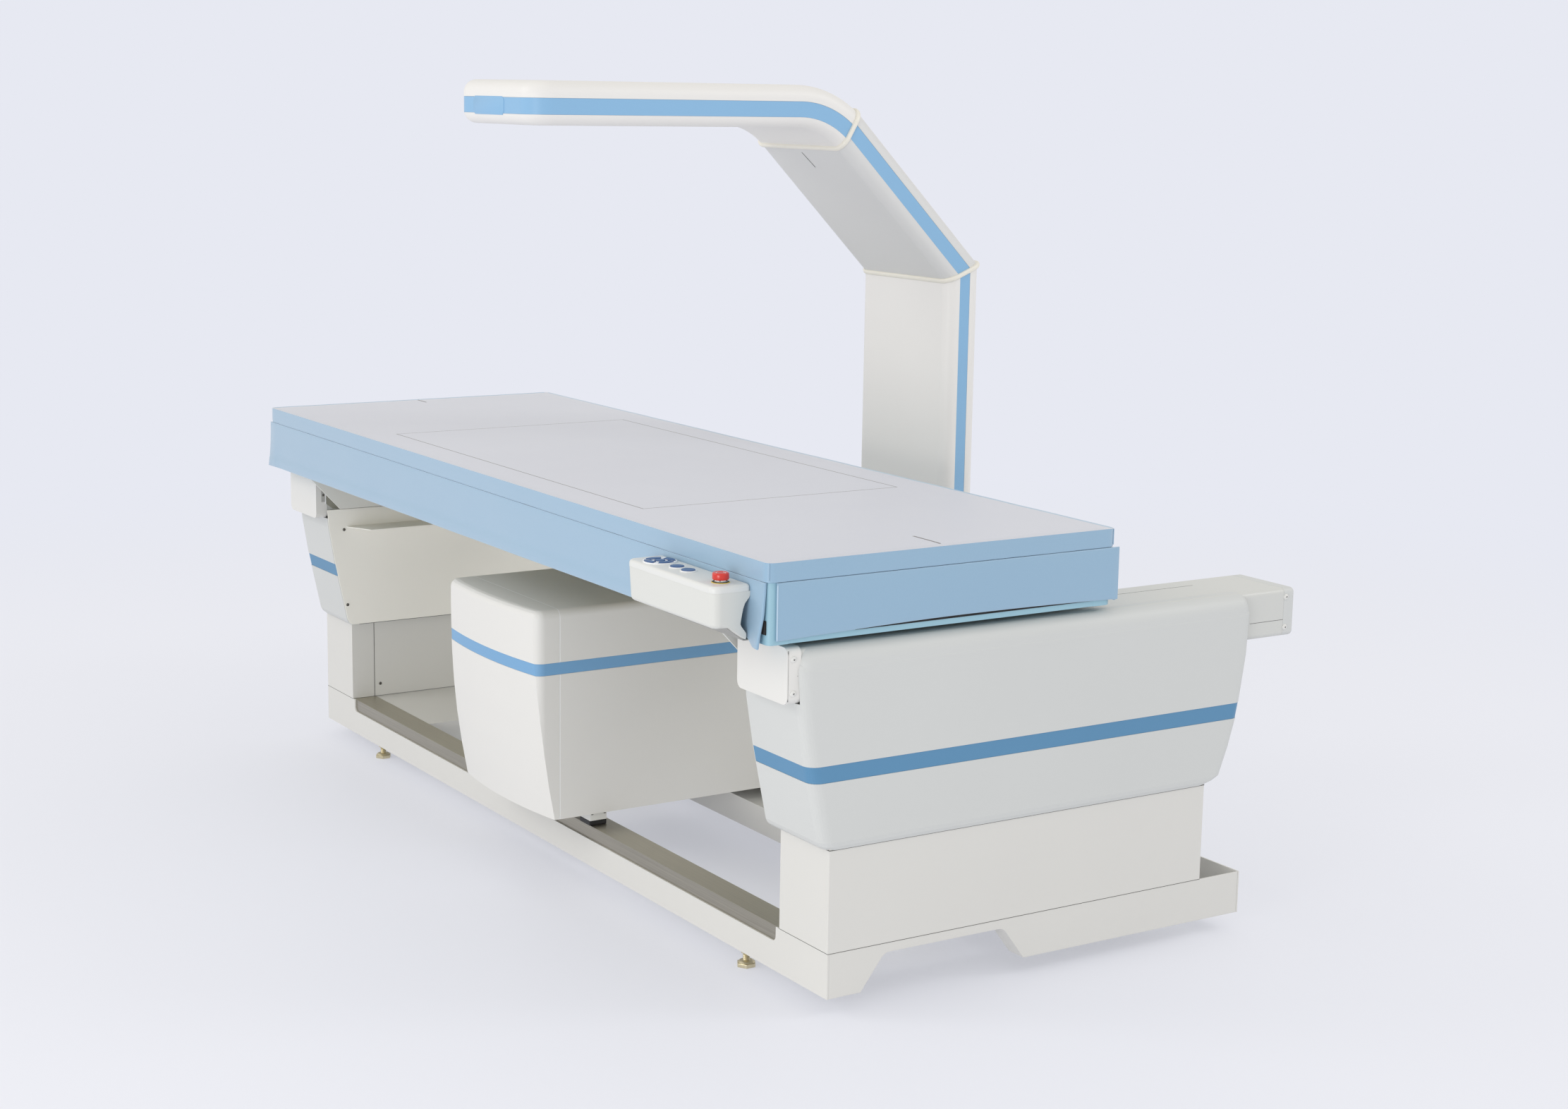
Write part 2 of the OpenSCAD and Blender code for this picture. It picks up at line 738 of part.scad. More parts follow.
// Lower shell, drawn in towards its bottom; the inside reaches past the top
module panel_body(inset, z0, z1)
  hull() {
    for (x = [panel_x0 + panel_r, panel_x1 - panel_r]) translate([x, panel_y0 + panel_r, 0]) {
      translate([0, 0, z1 - 0.1]) cylinder(r = panel_r - inset, h = 0.1, $fn = 32);
      translate([0, 0, z0]) cylinder(r = panel_r - 3 - inset, h = 0.1, $fn = 32);
    }
    block([panel_x0 + 3 + inset, panel_y1 - 24, z0],
          [panel_x1 - 3 - inset, panel_y1 - 12 - inset, z0 + 0.1]);
    block([panel_x0 + inset, panel_y1 - 24, z1 - 0.1],
          [panel_x1 - inset, panel_y1 - 12 - inset, z1]);
  }

module panel_shell() color("whitesmoke") place() difference() {
  union() {
    panel_body(0, panel_z, lid_z);
    round_block([panel_x0, panel_y0, lid_z - 8], [panel_x1, panel_y1, lid_z], 6);
  }
  panel_body(panel_wall, panel_z + panel_wall, lid_z + cut);
}

// Key outlines: four arcs about a round middle key, and two single keys
arc_in = pad_d / 2 - 14;
arc_out = pad_d / 2 - 2.5;
module arc_outline(turn, grow)
  rotate(turn) difference() {
    circle(arc_out + grow);
    circle(arc_in - grow);
    for (side = [-1, 1]) rotate(side * 34) translate([-40, side > 0 ? grow : -grow - 80]) square(80);
    translate([-80, -40]) square(80);
  }

module key_outline(name, grow) {
  if (name == "right") translate([pad_x, pad_y]) arc_outline(0, grow);
  if (name == "back") translate([pad_x, pad_y]) arc_outline(90, grow);
  if (name == "left") translate([pad_x, pad_y]) arc_outline(180, grow);
  if (name == "front") translate([pad_x, pad_y]) arc_outline(270, grow);
  if (name == "middle") translate([pad_x, pad_y]) circle(arc_in - 4.5 + grow);
  if (name == "one") translate([key_one_x, pad_y]) circle(key_d / 2 + grow);
  if (name == "two") translate([key_two_x, pad_y]) circle(key_d / 2 + grow);
}

module key(name) color("midnightblue") place()
  translate([0, 0, pad_top + key_travel + 0.2 - key_h])
    linear_extrude(key_h) key_outline(name, 0);

module panel_lid() color("whitesmoke") place() difference() {
  union() {
    soft_plate([panel_x0, panel_y0, lid_z], [panel_x1, panel_y1, lid_top], panel_r, 6);
    translate([pad_x, pad_y, lid_top]) cylinder(d = pad_d, h = pad_h);
    for (x = [key_one_x, key_two_x]) translate([x, pad_y, lid_top]) cylinder(d = key_d + 4, h = pad_h);
  }
  round_block([panel_x0 + 6, panel_y0 + 6, lid_z - cut], [panel_x1 - 6, panel_y1 - 6, lid_top - 3], 9);
  for (name = ["right", "back", "left", "front", "middle", "one", "two"])
    translate([0, 0, lid_z]) linear_extrude(lid_h + pad_h + cut) key_outline(name, key_gap);
  translate([stop_x, pad_y, lid_z]) cylinder(d = stop_neck_d + 2 * key_gap, h = lid_h + cut);
}

// Sheet under the panel that hooks it to the table frame, slotted for the slide plate
module panel_bracket() color("whitesmoke") place() difference() {
  along_x(panel_x0 + 12, panel_x1 - 12) polygon([
    [panel_y0 + 26, panel_z - 2], [panel_y0 + 26, panel_z], [panel_y1 - 34, panel_z],
    [panel_y1 - 3, frame_z], [panel_y1 + 30, frame_z], [panel_y1 + 30, frame_z - 2],
    [panel_y1 - 4, frame_z - 2], [panel_y1 - 35, panel_z - 2]]);
  block([slide_x - 2, panel_y1 + 8, frame_z - 20], [slide_x + slide_t + 2, panel_y1 + 40, frame_z + 1]);
}

stop_neck_d = 15;
module stop_base() color("gold") place() translate([stop_x, pad_y, lid_top]) difference() {
  cylinder(d = stop_d + 3, h = stop_ring_h);
  translate([0, 0, -cut]) cylinder(d = stop_neck_d + 2 * key_gap, h = stop_ring_h + 2 * cut);
}

// Stem that the head pushes down, and the red head that turns on it
module stop_stem() color("black") place() translate([stop_x, pad_y, lid_z + 1])
  cylinder(d = stop_neck_d, h = stop_z - lid_z - 1);
module stop_head() color("red") place() translate([stop_x, pad_y, stop_z])
  rotate_extrude() edge_outline(stop_d / 2, stop_h, 3);

// ---------- C-arm: tank ----------

slot_x = tank_x - 26;
slot_y = 18;

// Plate with two lightening holes, on four feet above the runways
module carriage() color("whitesmoke") place_arm() {
  difference() {
    block([-tank_x + tank_wall, 0, carriage_z],
          [tank_x - tank_wall, tank_y1 - tank_r - 2, carriage_z + carriage_t]);
    block([-tank_x + 70, 250, carriage_z - cut], [tank_x - 70, 430, carriage_z + carriage_t + cut]);
    block([-tank_x + 70, 490, carriage_z - cut], [tank_x - 70, 670, carriage_z + carriage_t + cut]);
  }
  for (x = [-slot_x, slot_x], y = [slot_y, base_w - slot_y])
    block([x - 20, y - 17, block_z + block_h], [x + 20, y + 17, carriage_z]);
}

module slide_blocks() color("black") place_arm()
  for (x = [-slot_x, slot_x], y = [slot_y, base_w - slot_y])
    block([x - 19, y - 17.5, block_z], [x + 19, y + 17.5, block_z + block_h]);

// Cover over the sides, top and back, open at the front and below
module tank_form(inset, y0) {
  r = tank_r - inset;
  soft_plate([-tank_x + inset, y0, tank_z - 1],
             [tank_x - inset, tank_y1 - inset, tank_top - inset], r, r);
}

module tank_cover() color("ivory") place_arm() difference() {
  intersection() {
    tank_form(0, tank_y0 - 60);
    block([-tank_x, tank_y0, tank_z], [tank_x, tank_y1, tank_top]);
  }
  tank_form(tank_wall, tank_y0 - 100);
  block([-tank_x - cut, tank_y0 - cut, tank_band_z - tank_band / 2],
        [-tank_x + 2, tank_y1 - 30, tank_band_z + tank_band / 2]);
  block([tank_x - 2, tank_y0 - cut, tank_band_z - tank_band / 2],
        [tank_x + cut, tank_y1 - 30, tank_band_z + tank_band / 2]);
  block([-beam_half - 1, column_y - beam_deep - 1, tank_top - tank_wall - cut],
        [beam_half + 1, column_y + beam_deep + 1, tank_top + cut]);
}

// Bulged front: a side profile turned about an upright axis far behind the tank
nose_r = 22;
nose_big_r = (tank_x * tank_x + nose_bulge * nose_bulge) / (2 * nose_bulge);
nose_axis_y = tank_y0 - nose_d - nose_bulge + nose_big_r;
nose_spread = asin(tank_x / nose_big_r) + 1;

function nose_in(t) = nose_tuck * pow(1 - t, 2.2);

module nose_turn(inset, floor_z) {
  flat = tank_h - tank_r;
  side = [for (i = [0 : 6]) let (t = i / 6, z = max(floor_z, t * flat))
    [nose_big_r - inset - nose_in(z / tank_h), tank_z + z]];
  top = [for (turn = [15 : 25 : 90])
    [nose_big_r - inset - tank_r * (1 - cos(turn)), tank_top - inset - tank_r * (1 - sin(turn))]];
  back = nose_big_r - nose_d - nose_bulge - 40;
  translate([0, nose_axis_y, 0]) rotate(270 - nose_spread)
    rotate_extrude(angle = 2 * nose_spread, $fn = 720)
    polygon(concat([[back, tank_z + floor_z]], side, top, [[back, tank_top - inset]]));
}

// Plan of the front with round corners; it stays open towards the tank
module nose_plan(inset, back) {
  half = tank_x - inset;
  r = nose_r - inset;
  reach = nose_big_r - inset - r + 0.6;
  y = nose_axis_y - sqrt(reach * reach - (half - r) * (half - r));
  meet = (half - r) * (nose_big_r - inset) / (nose_big_r - inset - r);
  translate([-half, y]) square([2 * half, back - y]);
  translate([-meet, y - 2 * r]) square([2 * meet, 2 * r + 1]);
  for (side = [-1, 1]) translate([side * (half - r), y]) circle(r);
}

module nose_form(inset, floor_z, back) intersection() {
  nose_turn(inset, floor_z);
  translate([0, 0, tank_z - cut]) linear_extrude(tank_h + 2 * cut) nose_plan(inset, back);
}

nose_groove = 2;
module nose_zone(gap) block([-tank_x - cut, tank_y0 - 120, tank_band_z - tank_band / 2 + gap],
                            [tank_x + cut, tank_y0, tank_band_z + tank_band / 2 - gap]);

module tank_nose() color("white") place_arm() difference() {
  nose_form(0, 0, tank_y0);
  nose_form(tank_wall + nose_groove, tank_wall, tank_y0 + cut);
  difference() {
    nose_zone(0);
    nose_form(nose_groove, 0, tank_y0 + cut);
  }
}

// Oil-filled housing with the tube's window on top
beam_y = 70;
module xray_source() color("darkgray") place_arm() difference() {
  round_block([-110, beam_y - 100, carriage_z + carriage_t],
              [110, beam_y + 100, carriage_z + carriage_t + 200], 20);
  translate([0, beam_y, carriage_z + carriage_t + 180]) cylinder(d = 50, h = 60);
}

module collimator() color("gray") place_arm() translate([0, beam_y, carriage_z + carriage_t + 200])
  difference() {
    block([-75, -70, 0], [75, 70, 80]);
    translate([0, 0, -cut]) cylinder(d = 40, h = 80 + 2 * cut);
  }

// Motor above the belt, with a guard on each side of the belt
module drive_motor() color("dimgray") place_arm() {
  for (y = [belt_y - 15, belt_y + 10])
    block([-30, y, base_top + 3], [30, y + 5, carriage_z]);
  round_block([-35, belt_y - 55, carriage_z + carriage_t],
              [35, belt_y + 15, carriage_z + carriage_t + 90], 8);
}

// ---------- C-arm: column and arm ----------

// The arm's section; the radial direction comes first in the bend
module arm_section(inset) round_rect(arm_w - 2 * inset, arm_t - 2 * inset, arm_r - inset);
module bend_section(inset) round_rect(arm_t - 2 * inset, arm_w - 2 * inset, arm_r - inset);

module bend(inset)
  translate([0, bend_y, hub_z]) rotate([0, -90, 0])
    rotate_extrude(angle = slant) translate([bend_r, 0]) bend_section(inset);

module arm_run(inset) {
  edge = tip_r - inset;
  top = arm_r - inset;
  y0 = tip_y + inset;
  w = arm_w / 2 - inset;
  h = arm_t - 2 * inset;
  z0 = arm_z - h / 2;
  along_y(y0 + edge, bend_y) translate([0, arm_z]) arm_section(inset);
  along_x(-w + edge, w - edge) difference() {
    translate([y0, z0]) square([edge, h]);
    for (side = [0, 1]) translate([y0 + top, side == 0 ? z0 + top : z0 + h - top])
      mirror([0, side == 0 ? 1 : 0]) mirror([1, 0]) difference() {
        square(top + 1);
        circle(top);
      }
  }
  for (side = [0, 1]) mirror([side, 0, 0])
    translate([w - edge, y0 + edge, z0]) rotate(270) rotate_extrude(angle = 90) difference() {
      square([edge, h]);
      for (up = [0, 1]) translate([edge - top, up == 0 ? top : h - top])
        mirror([0, up == 0 ? 1 : 0]) difference() {
          square(top + 1);
          circle(top);
        }
    }
}

// Places along the slanted run
module on_slant() translate([0, bend_end[0], bend_end[1]]) rotate([-slant, 0, 0]) children();
module slant_run(inset) on_slant() along_y(-60, slant_l + arm_t) arm_section(inset);

module column_run(inset, z0, z1)
  translate([0, column_y, z0]) linear_extrude(z1 - z0) arm_section(inset);

// Planes of the two rings: one in the bend, one halving the angle at the knee
module at_ring() translate([0, ring_c[0], ring_c[1]]) rotate([-ring_lean, 0, 0]) children();
module past_ring() at_ring()
  translate([-arm_w, -ring_w / 2, -400]) cube([2 * arm_w, 800, 800]);
module before_ring() at_ring()
  translate([-arm_w, ring_w / 2 - 800, -400]) cube([2 * arm_w, 800, 800]);

knee_turn = (90 - slant) / 2;
module at_knee() translate([0, column_y, knee_z]) rotate([knee_turn, 0, 0]) children();
module above_knee() at_knee()
  translate([-arm_w, -400, -ring_w / 2]) cube([2 * arm_w, 800, 800]);
module below_knee() at_knee()
  translate([-arm_w, -400, ring_w / 2 - 800]) cube([2 * arm_w, 800, 800]);

module ring_plate(w, t) linear_extrude(ring_w, center = true) difference() {
  round_rect(w + 2 * ring_out, t + 2 * ring_out, arm_r + ring_out);
  round_rect(w - 12, t - 12, arm_r - 6);
}

module bend_rings() color("white") place_arm() {
  at_ring() rotate([90, 0, 0]) ring_plate(arm_w, arm_t / cos(ring_turn - ring_lean));
  at_knee() ring_plate(arm_w, arm_t / cos(knee_turn));
}

// Blue bands: each strip reaches from a depth inside the cover's side to a distance outside it
module both_sides() for (side = [0, 1]) mirror([side, 0, 0]) children();

module arm_strip(deep, out, gap) both_sides() {
  half = arm_band / 2 - gap;
  along_y(tip_y + tip_r, bend_y)
    translate([arm_w / 2 - deep, arm_z - band_drop - half]) square([deep + out, 2 * half]);
  translate([0, bend_y, hub_z]) rotate([0, -90, 0]) rotate_extrude(angle = slant)
    translate([bend_r - band_drop - half, -arm_w / 2 - out]) square([2 * half, deep + out]);
}

module slant_strip(deep, out, gap) both_sides() {
  half = slant_band / 2 - gap;
  on_slant() along_y(-60, slant_l + arm_t)
    translate([arm_w / 2 - deep, -half]) square([deep + out, 2 * half]);
}

module column_strip(deep, out, gap) both_sides() {
  half = column_band / 2 - gap;
  block([arm_w / 2 - deep, column_y - half, tank_top + 1],
        [arm_w / 2 + out, column_y + half, knee_z + arm_t]);
}

// Plan outline of the arm's tip
module tip_plan(inset) {
  w = arm_w / 2 - inset;
  edge = tip_r - inset;
  translate([-w + edge, tip_y + inset]) square([2 * (w - edge), edge]);
  for (side = [-1, 1]) translate([side * (w - edge), tip_y + tip_r]) circle(edge);
}

module tip_strip(deep, out, gap) difference() {
  half = arm_band / 2 - gap;
  translate([0, 0, arm_z - band_drop - half]) linear_extrude(2 * half) difference() {
    tip_plan(-out);
    tip_plan(deep);
  }
  block([-arm_w, tip_y + tip_r, arm_z - arm_t], [arm_w, tip_y + arm_w, arm_z + arm_t]);
}

module arm_cover() color("ivory") place_arm() difference() {
  union() {
    arm_run(0);
    bend(0);
  }
  arm_run(arm_wall + arm_band_d);
  bend(arm_wall + arm_band_d);
  past_ring();
  arm_strip(arm_band_d, cut, 0);
  tip_strip(arm_band_d, cut, 0);
}

module slant_cover() color("ivory") place_arm() difference() {
  slant_run(0);
  slant_run(arm_wall + arm_band_d);
  before_ring();
  below_knee();
  slant_strip(arm_band_d, cut, 0);
}

module column_cover() color("ivory") place_arm() difference() {
  column_run(0, tank_top, knee_z + arm_t);
  column_run(arm_wall + arm_band_d, tank_top - cut, knee_z + 2 * arm_t);
  above_knee();
  column_strip(arm_band_d, cut, 0);
}

// Strips in the grooves of the arm, the slanted part, the column and the tank
fit = 0.2;
module arm_bands() color("steelblue") place_arm() {
  difference() {
    arm_strip(arm_band_d, -0.3, fit);
    past_ring();
  }
  tip_strip(arm_band_d, -0.3, fit);
  difference() {
    slant_strip(arm_band_d, -0.3, fit);
    before_ring();
    below_knee();
  }
  difference() {
    column_strip(arm_band_d, -0.3, fit);
    above_knee();
  }
  both_sides() block([tank_x - 2, tank_y0, tank_band_z - tank_band / 2 + fit],
                     [tank_x - 0.3, tank_y1 - 31, tank_band_z + tank_band / 2 - fit]);
  difference() {
    intersection() {
      nose_form(0.3, 0, tank_y0);
      nose_zone(fit);
    }
    nose_form(nose_groove, 0, tank_y0 + cut);
  }
}

// Box beam inside the covers, from the carriage to the arm
beam_half = 95;
beam_deep = 24;
module beam_runs(inset) {
  half = beam_half - inset;
  deep = beam_deep - inset;
  block([-half, column_y - deep, carriage_z + carriage_t - 2 * inset],
        [half, column_y + deep, knee_z]);
  on_slant() block([-half, 0, -deep], [half, slant_l + deep * 0.4, deep]);
  translate([0, bend_y, hub_z]) rotate([0, -90, 0])
    rotate_extrude(angle = slant) translate([bend_r, 0]) square(2 * [deep, half], center = true);
  block([-half, bend_y - 200, arm_z - deep], [half, bend_y, arm_z + deep]);
}

module arm_beam() color("slategray") place_arm() difference() {
  beam_runs(0);
  beam_runs(5);
}

module detector() color("darkgray") place_arm()
  block([-120, tip_y + 20, arm_z - 25], [120, bend_y - 200, arm_z + 25]);

// ---------- nodes ----------

front_beam();
rear_beam();
right_end_frame();
left_end_frame();
equipment_deck();
runways();
levelling_feet();
right_pedestal();
left_pedestal();
support_posts();
right_cover();
left_cover();
right_cover_band();
left_cover_band();
right_inner_panel();
left_inner_panel();
right_cross_rail();
left_cross_rail();
right_front_cap();
left_front_cap();
rail_rear_caps();
guide_bars();
table_drive();
drive_belt();
table_frame();
table_top();
mat();
front_skirt();
rear_skirt();
left_skirt();
right_skirt();
slide_plates();
bearing_blocks();
panel_shell();
panel_lid();
panel_bracket();
stop_base();
key("front");  // key_front
key("back");  // key_back
key("left");  // key_left
key("right");  // key_right
key("middle");  // key_middle
key("one");  // key_one
key("two");  // key_two
stop_stem();
stop_head();
carriage();
slide_blocks();
tank_nose();
tank_cover();
xray_source();
collimator();
drive_motor();
column_cover();
slant_cover();
arm_cover();
arm_bands();
bend_rings();
arm_beam();
detector();
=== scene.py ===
import json
import math
import bmesh
import bpy
from mathutils import Matrix, Vector, noise

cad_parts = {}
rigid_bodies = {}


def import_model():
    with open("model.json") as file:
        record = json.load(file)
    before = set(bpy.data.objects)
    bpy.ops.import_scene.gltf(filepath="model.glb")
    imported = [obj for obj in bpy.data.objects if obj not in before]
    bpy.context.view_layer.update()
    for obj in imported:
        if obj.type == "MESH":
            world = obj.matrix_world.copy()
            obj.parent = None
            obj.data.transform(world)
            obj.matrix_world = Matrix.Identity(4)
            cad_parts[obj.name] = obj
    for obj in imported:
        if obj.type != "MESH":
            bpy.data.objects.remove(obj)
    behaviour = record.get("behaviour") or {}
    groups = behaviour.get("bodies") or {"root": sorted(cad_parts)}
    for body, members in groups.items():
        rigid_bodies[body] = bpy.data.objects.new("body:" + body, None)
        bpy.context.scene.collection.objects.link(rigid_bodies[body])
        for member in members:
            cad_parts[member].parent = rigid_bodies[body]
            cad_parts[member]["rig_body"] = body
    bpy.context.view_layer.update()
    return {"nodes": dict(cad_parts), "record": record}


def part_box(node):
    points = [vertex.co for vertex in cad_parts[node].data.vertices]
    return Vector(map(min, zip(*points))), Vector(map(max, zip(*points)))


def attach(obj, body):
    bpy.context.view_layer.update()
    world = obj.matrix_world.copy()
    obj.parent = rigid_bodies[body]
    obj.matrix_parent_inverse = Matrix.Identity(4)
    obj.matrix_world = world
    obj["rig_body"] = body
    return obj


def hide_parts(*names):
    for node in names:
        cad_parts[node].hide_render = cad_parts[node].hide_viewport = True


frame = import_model()
nodeSlot = {part["node"]: part["material_slot"] for part in frame["record"]["subparts"]}
bodyOf = {name: node["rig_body"] for name, node in frame["nodes"].items()}


# Helpers for numbers and shader nodes
def srgb(red, green, blue):
    return tuple(((c / 255 + 0.055) / 1.055) ** 2.4 for c in (red, green, blue)) + (1,)


def smoothStep(value, start, end):
    t = min(max((value - start) / (end - start), 0), 1)
    return t * t * (3 - 2 * t)


def feed(tree, socket, value):
    if isinstance(value, bpy.types.NodeSocket):
        tree.links.new(value, socket)
    else:
        socket.default_value = value


def calc(tree, operation, *values):
    node = tree.nodes.new("ShaderNodeMath")
    node.operation = operation
    for socket, value in zip(node.inputs, values):
        feed(tree, socket, value)
    return node.outputs[0]


def mixColour(tree, factor, first, second):
    node = tree.nodes.new("ShaderNodeMix")
    node.data_type = "RGBA"
    for index, value in ((0, factor), (6, first), (7, second)):  # inputs 6 and 7 are the colours
        feed(tree, node.inputs[index], value)
    return node.outputs[2]


def noiseField(tree, vector, scale, detail=2.0, roughness=0.5):
    node = tree.nodes.new("ShaderNodeTexNoise")
    for label, value in (("Vector", vector), ("Scale", scale), ("Detail", detail), ("Roughness", roughness)):
        feed(tree, node.inputs[label], value)
    return node.outputs["Fac"]


def stretched(tree, vector, scale):
    node = tree.nodes.new("ShaderNodeMapping")
    feed(tree, node.inputs["Vector"], vector)
    feed(tree, node.inputs["Scale"], scale)
    return node.outputs["Vector"]


# Shader groups shared by the finishes
def openGroup(name, inputs, outputs):
    group = bpy.data.node_groups.new(name, "ShaderNodeTree")
    for label, kind, value in inputs:
        group.interface.new_socket(name=label, in_out="INPUT", socket_type=kind).default_value = value
    for label, kind in outputs:
        group.interface.new_socket(name=label, in_out="OUTPUT", socket_type=kind)
    return group, group.nodes.new("NodeGroupInput").outputs, group.nodes.new("NodeGroupOutput").inputs


number, colour, vector3 = "NodeSocketFloat", "NodeSocketColor", "NodeSocketVector"
skinOutputs = [("Colour", colour), ("Roughness", number), ("Height", number)]
white = (1, 1, 1, 1)


def placeOf(group):
    return group.nodes.new("ShaderNodeTexCoord").outputs["Object"]


# Moulded plastic and powder coat: fine texture, faint clouds in the colour and the gloss
moulding = {"cloudSize": 3.1, "cloudDetail": 4.0}
mouldedSkin, given, result = openGroup("mouldedSkin", [
    ("Colour", colour, white), ("Cloud Colour", colour, white), ("Grain Size", number, 900.0),
    ("Roughness", number, 0.45), ("Spread", number, 0.06)], skinOutputs)
where = placeOf(mouldedSkin)
grain = noiseField(mouldedSkin, where, given["Grain Size"])
cloud = noiseField(mouldedSkin, where, moulding["cloudSize"], moulding["cloudDetail"])
feed(mouldedSkin, result["Colour"], mixColour(mouldedSkin, cloud, given["Colour"], given["Cloud Colour"]))
mixed = calc(mouldedSkin, "ADD", calc(mouldedSkin, "SUBTRACT", grain, 0.5),
             calc(mouldedSkin, "SUBTRACT", cloud, 0.5))
feed(mouldedSkin, result["Roughness"],
     calc(mouldedSkin, "ADD", given["Roughness"], calc(mouldedSkin, "MULTIPLY", mixed, given["Spread"])))
feed(mouldedSkin, result["Height"], grain)

# Vinyl: small leather pebbles, long shallow creases, darker between the pebbles
pebbling = {"edge": 4.0, "soften": 0.3, "height": 0.2, "shade": 0.35,
            "patchSize": 2.3, "patchDetail": 3.0, "patchShade": 0.65,
            "creaseDetail": 4.0, "creaseRough": 0.45, "creaseGloss": 0.14}
vinylGrain, given, result = openGroup("vinylGrain", [
    ("Colour", colour, white), ("Groove Colour", colour, white), ("Pebble Size", number, 700.0),
    ("Roughness", number, 0.45), ("Crease", number, 0.5), ("Crease Lay", vector3, (8, 8, 30))], skinOutputs)
where = placeOf(vinylGrain)
cells = vinylGrain.nodes.new("ShaderNodeTexVoronoi")
cells.feature = "DISTANCE_TO_EDGE"
feed(vinylGrain, cells.inputs["Vector"], where)
feed(vinylGrain, cells.inputs["Scale"], given["Pebble Size"])
steep = calc(vinylGrain, "MULTIPLY", cells.outputs["Distance"], pebbling["edge"])
pebble = calc(vinylGrain, "SMOOTH_MIN", steep, 1.0, pebbling["soften"])
crease = noiseField(vinylGrain, stretched(vinylGrain, where, given["Crease Lay"]), 1.0,
                    pebbling["creaseDetail"], pebbling["creaseRough"])
patch = noiseField(vinylGrain, where, pebbling["patchSize"], pebbling["patchDetail"])
shade = calc(vinylGrain, "ADD", calc(vinylGrain, "MULTIPLY", pebble, pebbling["shade"]),
             calc(vinylGrain, "MULTIPLY", patch, pebbling["patchShade"]))
feed(vinylGrain, result["Colour"], mixColour(vinylGrain, shade, given["Groove Colour"], given["Colour"]))
gloss = calc(vinylGrain, "MULTIPLY", crease, pebbling["creaseGloss"])
feed(vinylGrain, result["Roughness"], calc(vinylGrain, "ADD", given["Roughness"], gloss))
feed(vinylGrain, result["Height"],
     calc(vinylGrain, "ADD", calc(vinylGrain, "MULTIPLY", pebble, pebbling["height"]),
          calc(vinylGrain, "MULTIPLY", crease, given["Crease"])))

# Rolled and brushed metal: streaks along one axis
brushing = {"detail": 5.0, "rough": 0.6}
brushedMetal, given, result = openGroup("brushedMetal", [
    ("Colour", colour, white), ("Streak Colour", colour, white), ("Lay", vector3, (6, 700, 700)),
    ("Roughness", number, 0.3), ("Spread", number, 0.2)], skinOutputs)
combed = stretched(brushedMetal, placeOf(brushedMetal), given["Lay"])
streak = noiseField(brushedMetal, combed, 1.0, brushing["detail"], brushing["rough"])
feed(brushedMetal, result["Colour"], mixColour(brushedMetal, streak, given["Colour"], given["Streak Colour"]))
feed(brushedMetal, result["Roughness"],
     calc(brushedMetal, "ADD", given["Roughness"], calc(brushedMetal, "MULTIPLY", streak, given["Spread"])))
feed(brushedMetal, result["Height"], streak)
print("shader groups made")


# Finishes: one per material slot, and the extra ones below them
def finish(name, group, values, bump, sockets=None):
    material = bpy.data.materials.new(name)
    material.use_nodes = True
    tree = material.node_tree
    shader = tree.nodes["Principled BSDF"]
    skin = tree.nodes.new("ShaderNodeGroup")
    skin.node_tree = group
    for label, value in values.items():
        skin.inputs[label].default_value = value
    relief = tree.nodes.new("ShaderNodeBump")
    relief.inputs["Strength"].default_value, relief.inputs["Distance"].default_value = bump
    tree.links.new(skin.outputs["Colour"], shader.inputs["Base Color"])
    tree.links.new(skin.outputs["Roughness"], shader.inputs["Roughness"])
    tree.links.new(skin.outputs["Height"], relief.inputs["Height"])
    tree.links.new(relief.outputs["Normal"], shader.inputs["Normal"])
    for label, value in (sockets or {}).items():
        shader.inputs[label].default_value = value
    return material


def moulded(name, base, rough, grain=900.0, spread=0.06, bump=(0.12, 0.0002), shift=0.96, sockets=None):
    second = tuple(c * shift for c in base[:3]) + (1,)
    return finish(name, mouldedSkin, {"Colour": base, "Cloud Colour": second, "Grain Size": grain,
                                      "Roughness": rough, "Spread": spread}, bump, sockets)


def metal(name, base, streaks, rough, lay=(6, 700, 700), spread=0.2, bump=(0.15, 0.0001)):
    return finish(name, brushedMetal, {"Colour": base, "Streak Colour": streaks, "Lay": lay,
                                       "Roughness": rough, "Spread": spread}, bump, {"Metallic": 1.0})


def vinyl(name, base, groove, rough, crease=0.5, lay=(8, 8, 30), bump=(0.35, 0.0006), sockets=None):
    return finish(name, vinylGrain, {"Colour": base, "Groove Colour": groove, "Roughness": rough,
                                     "Crease": crease, "Crease Lay": lay}, bump, sockets)


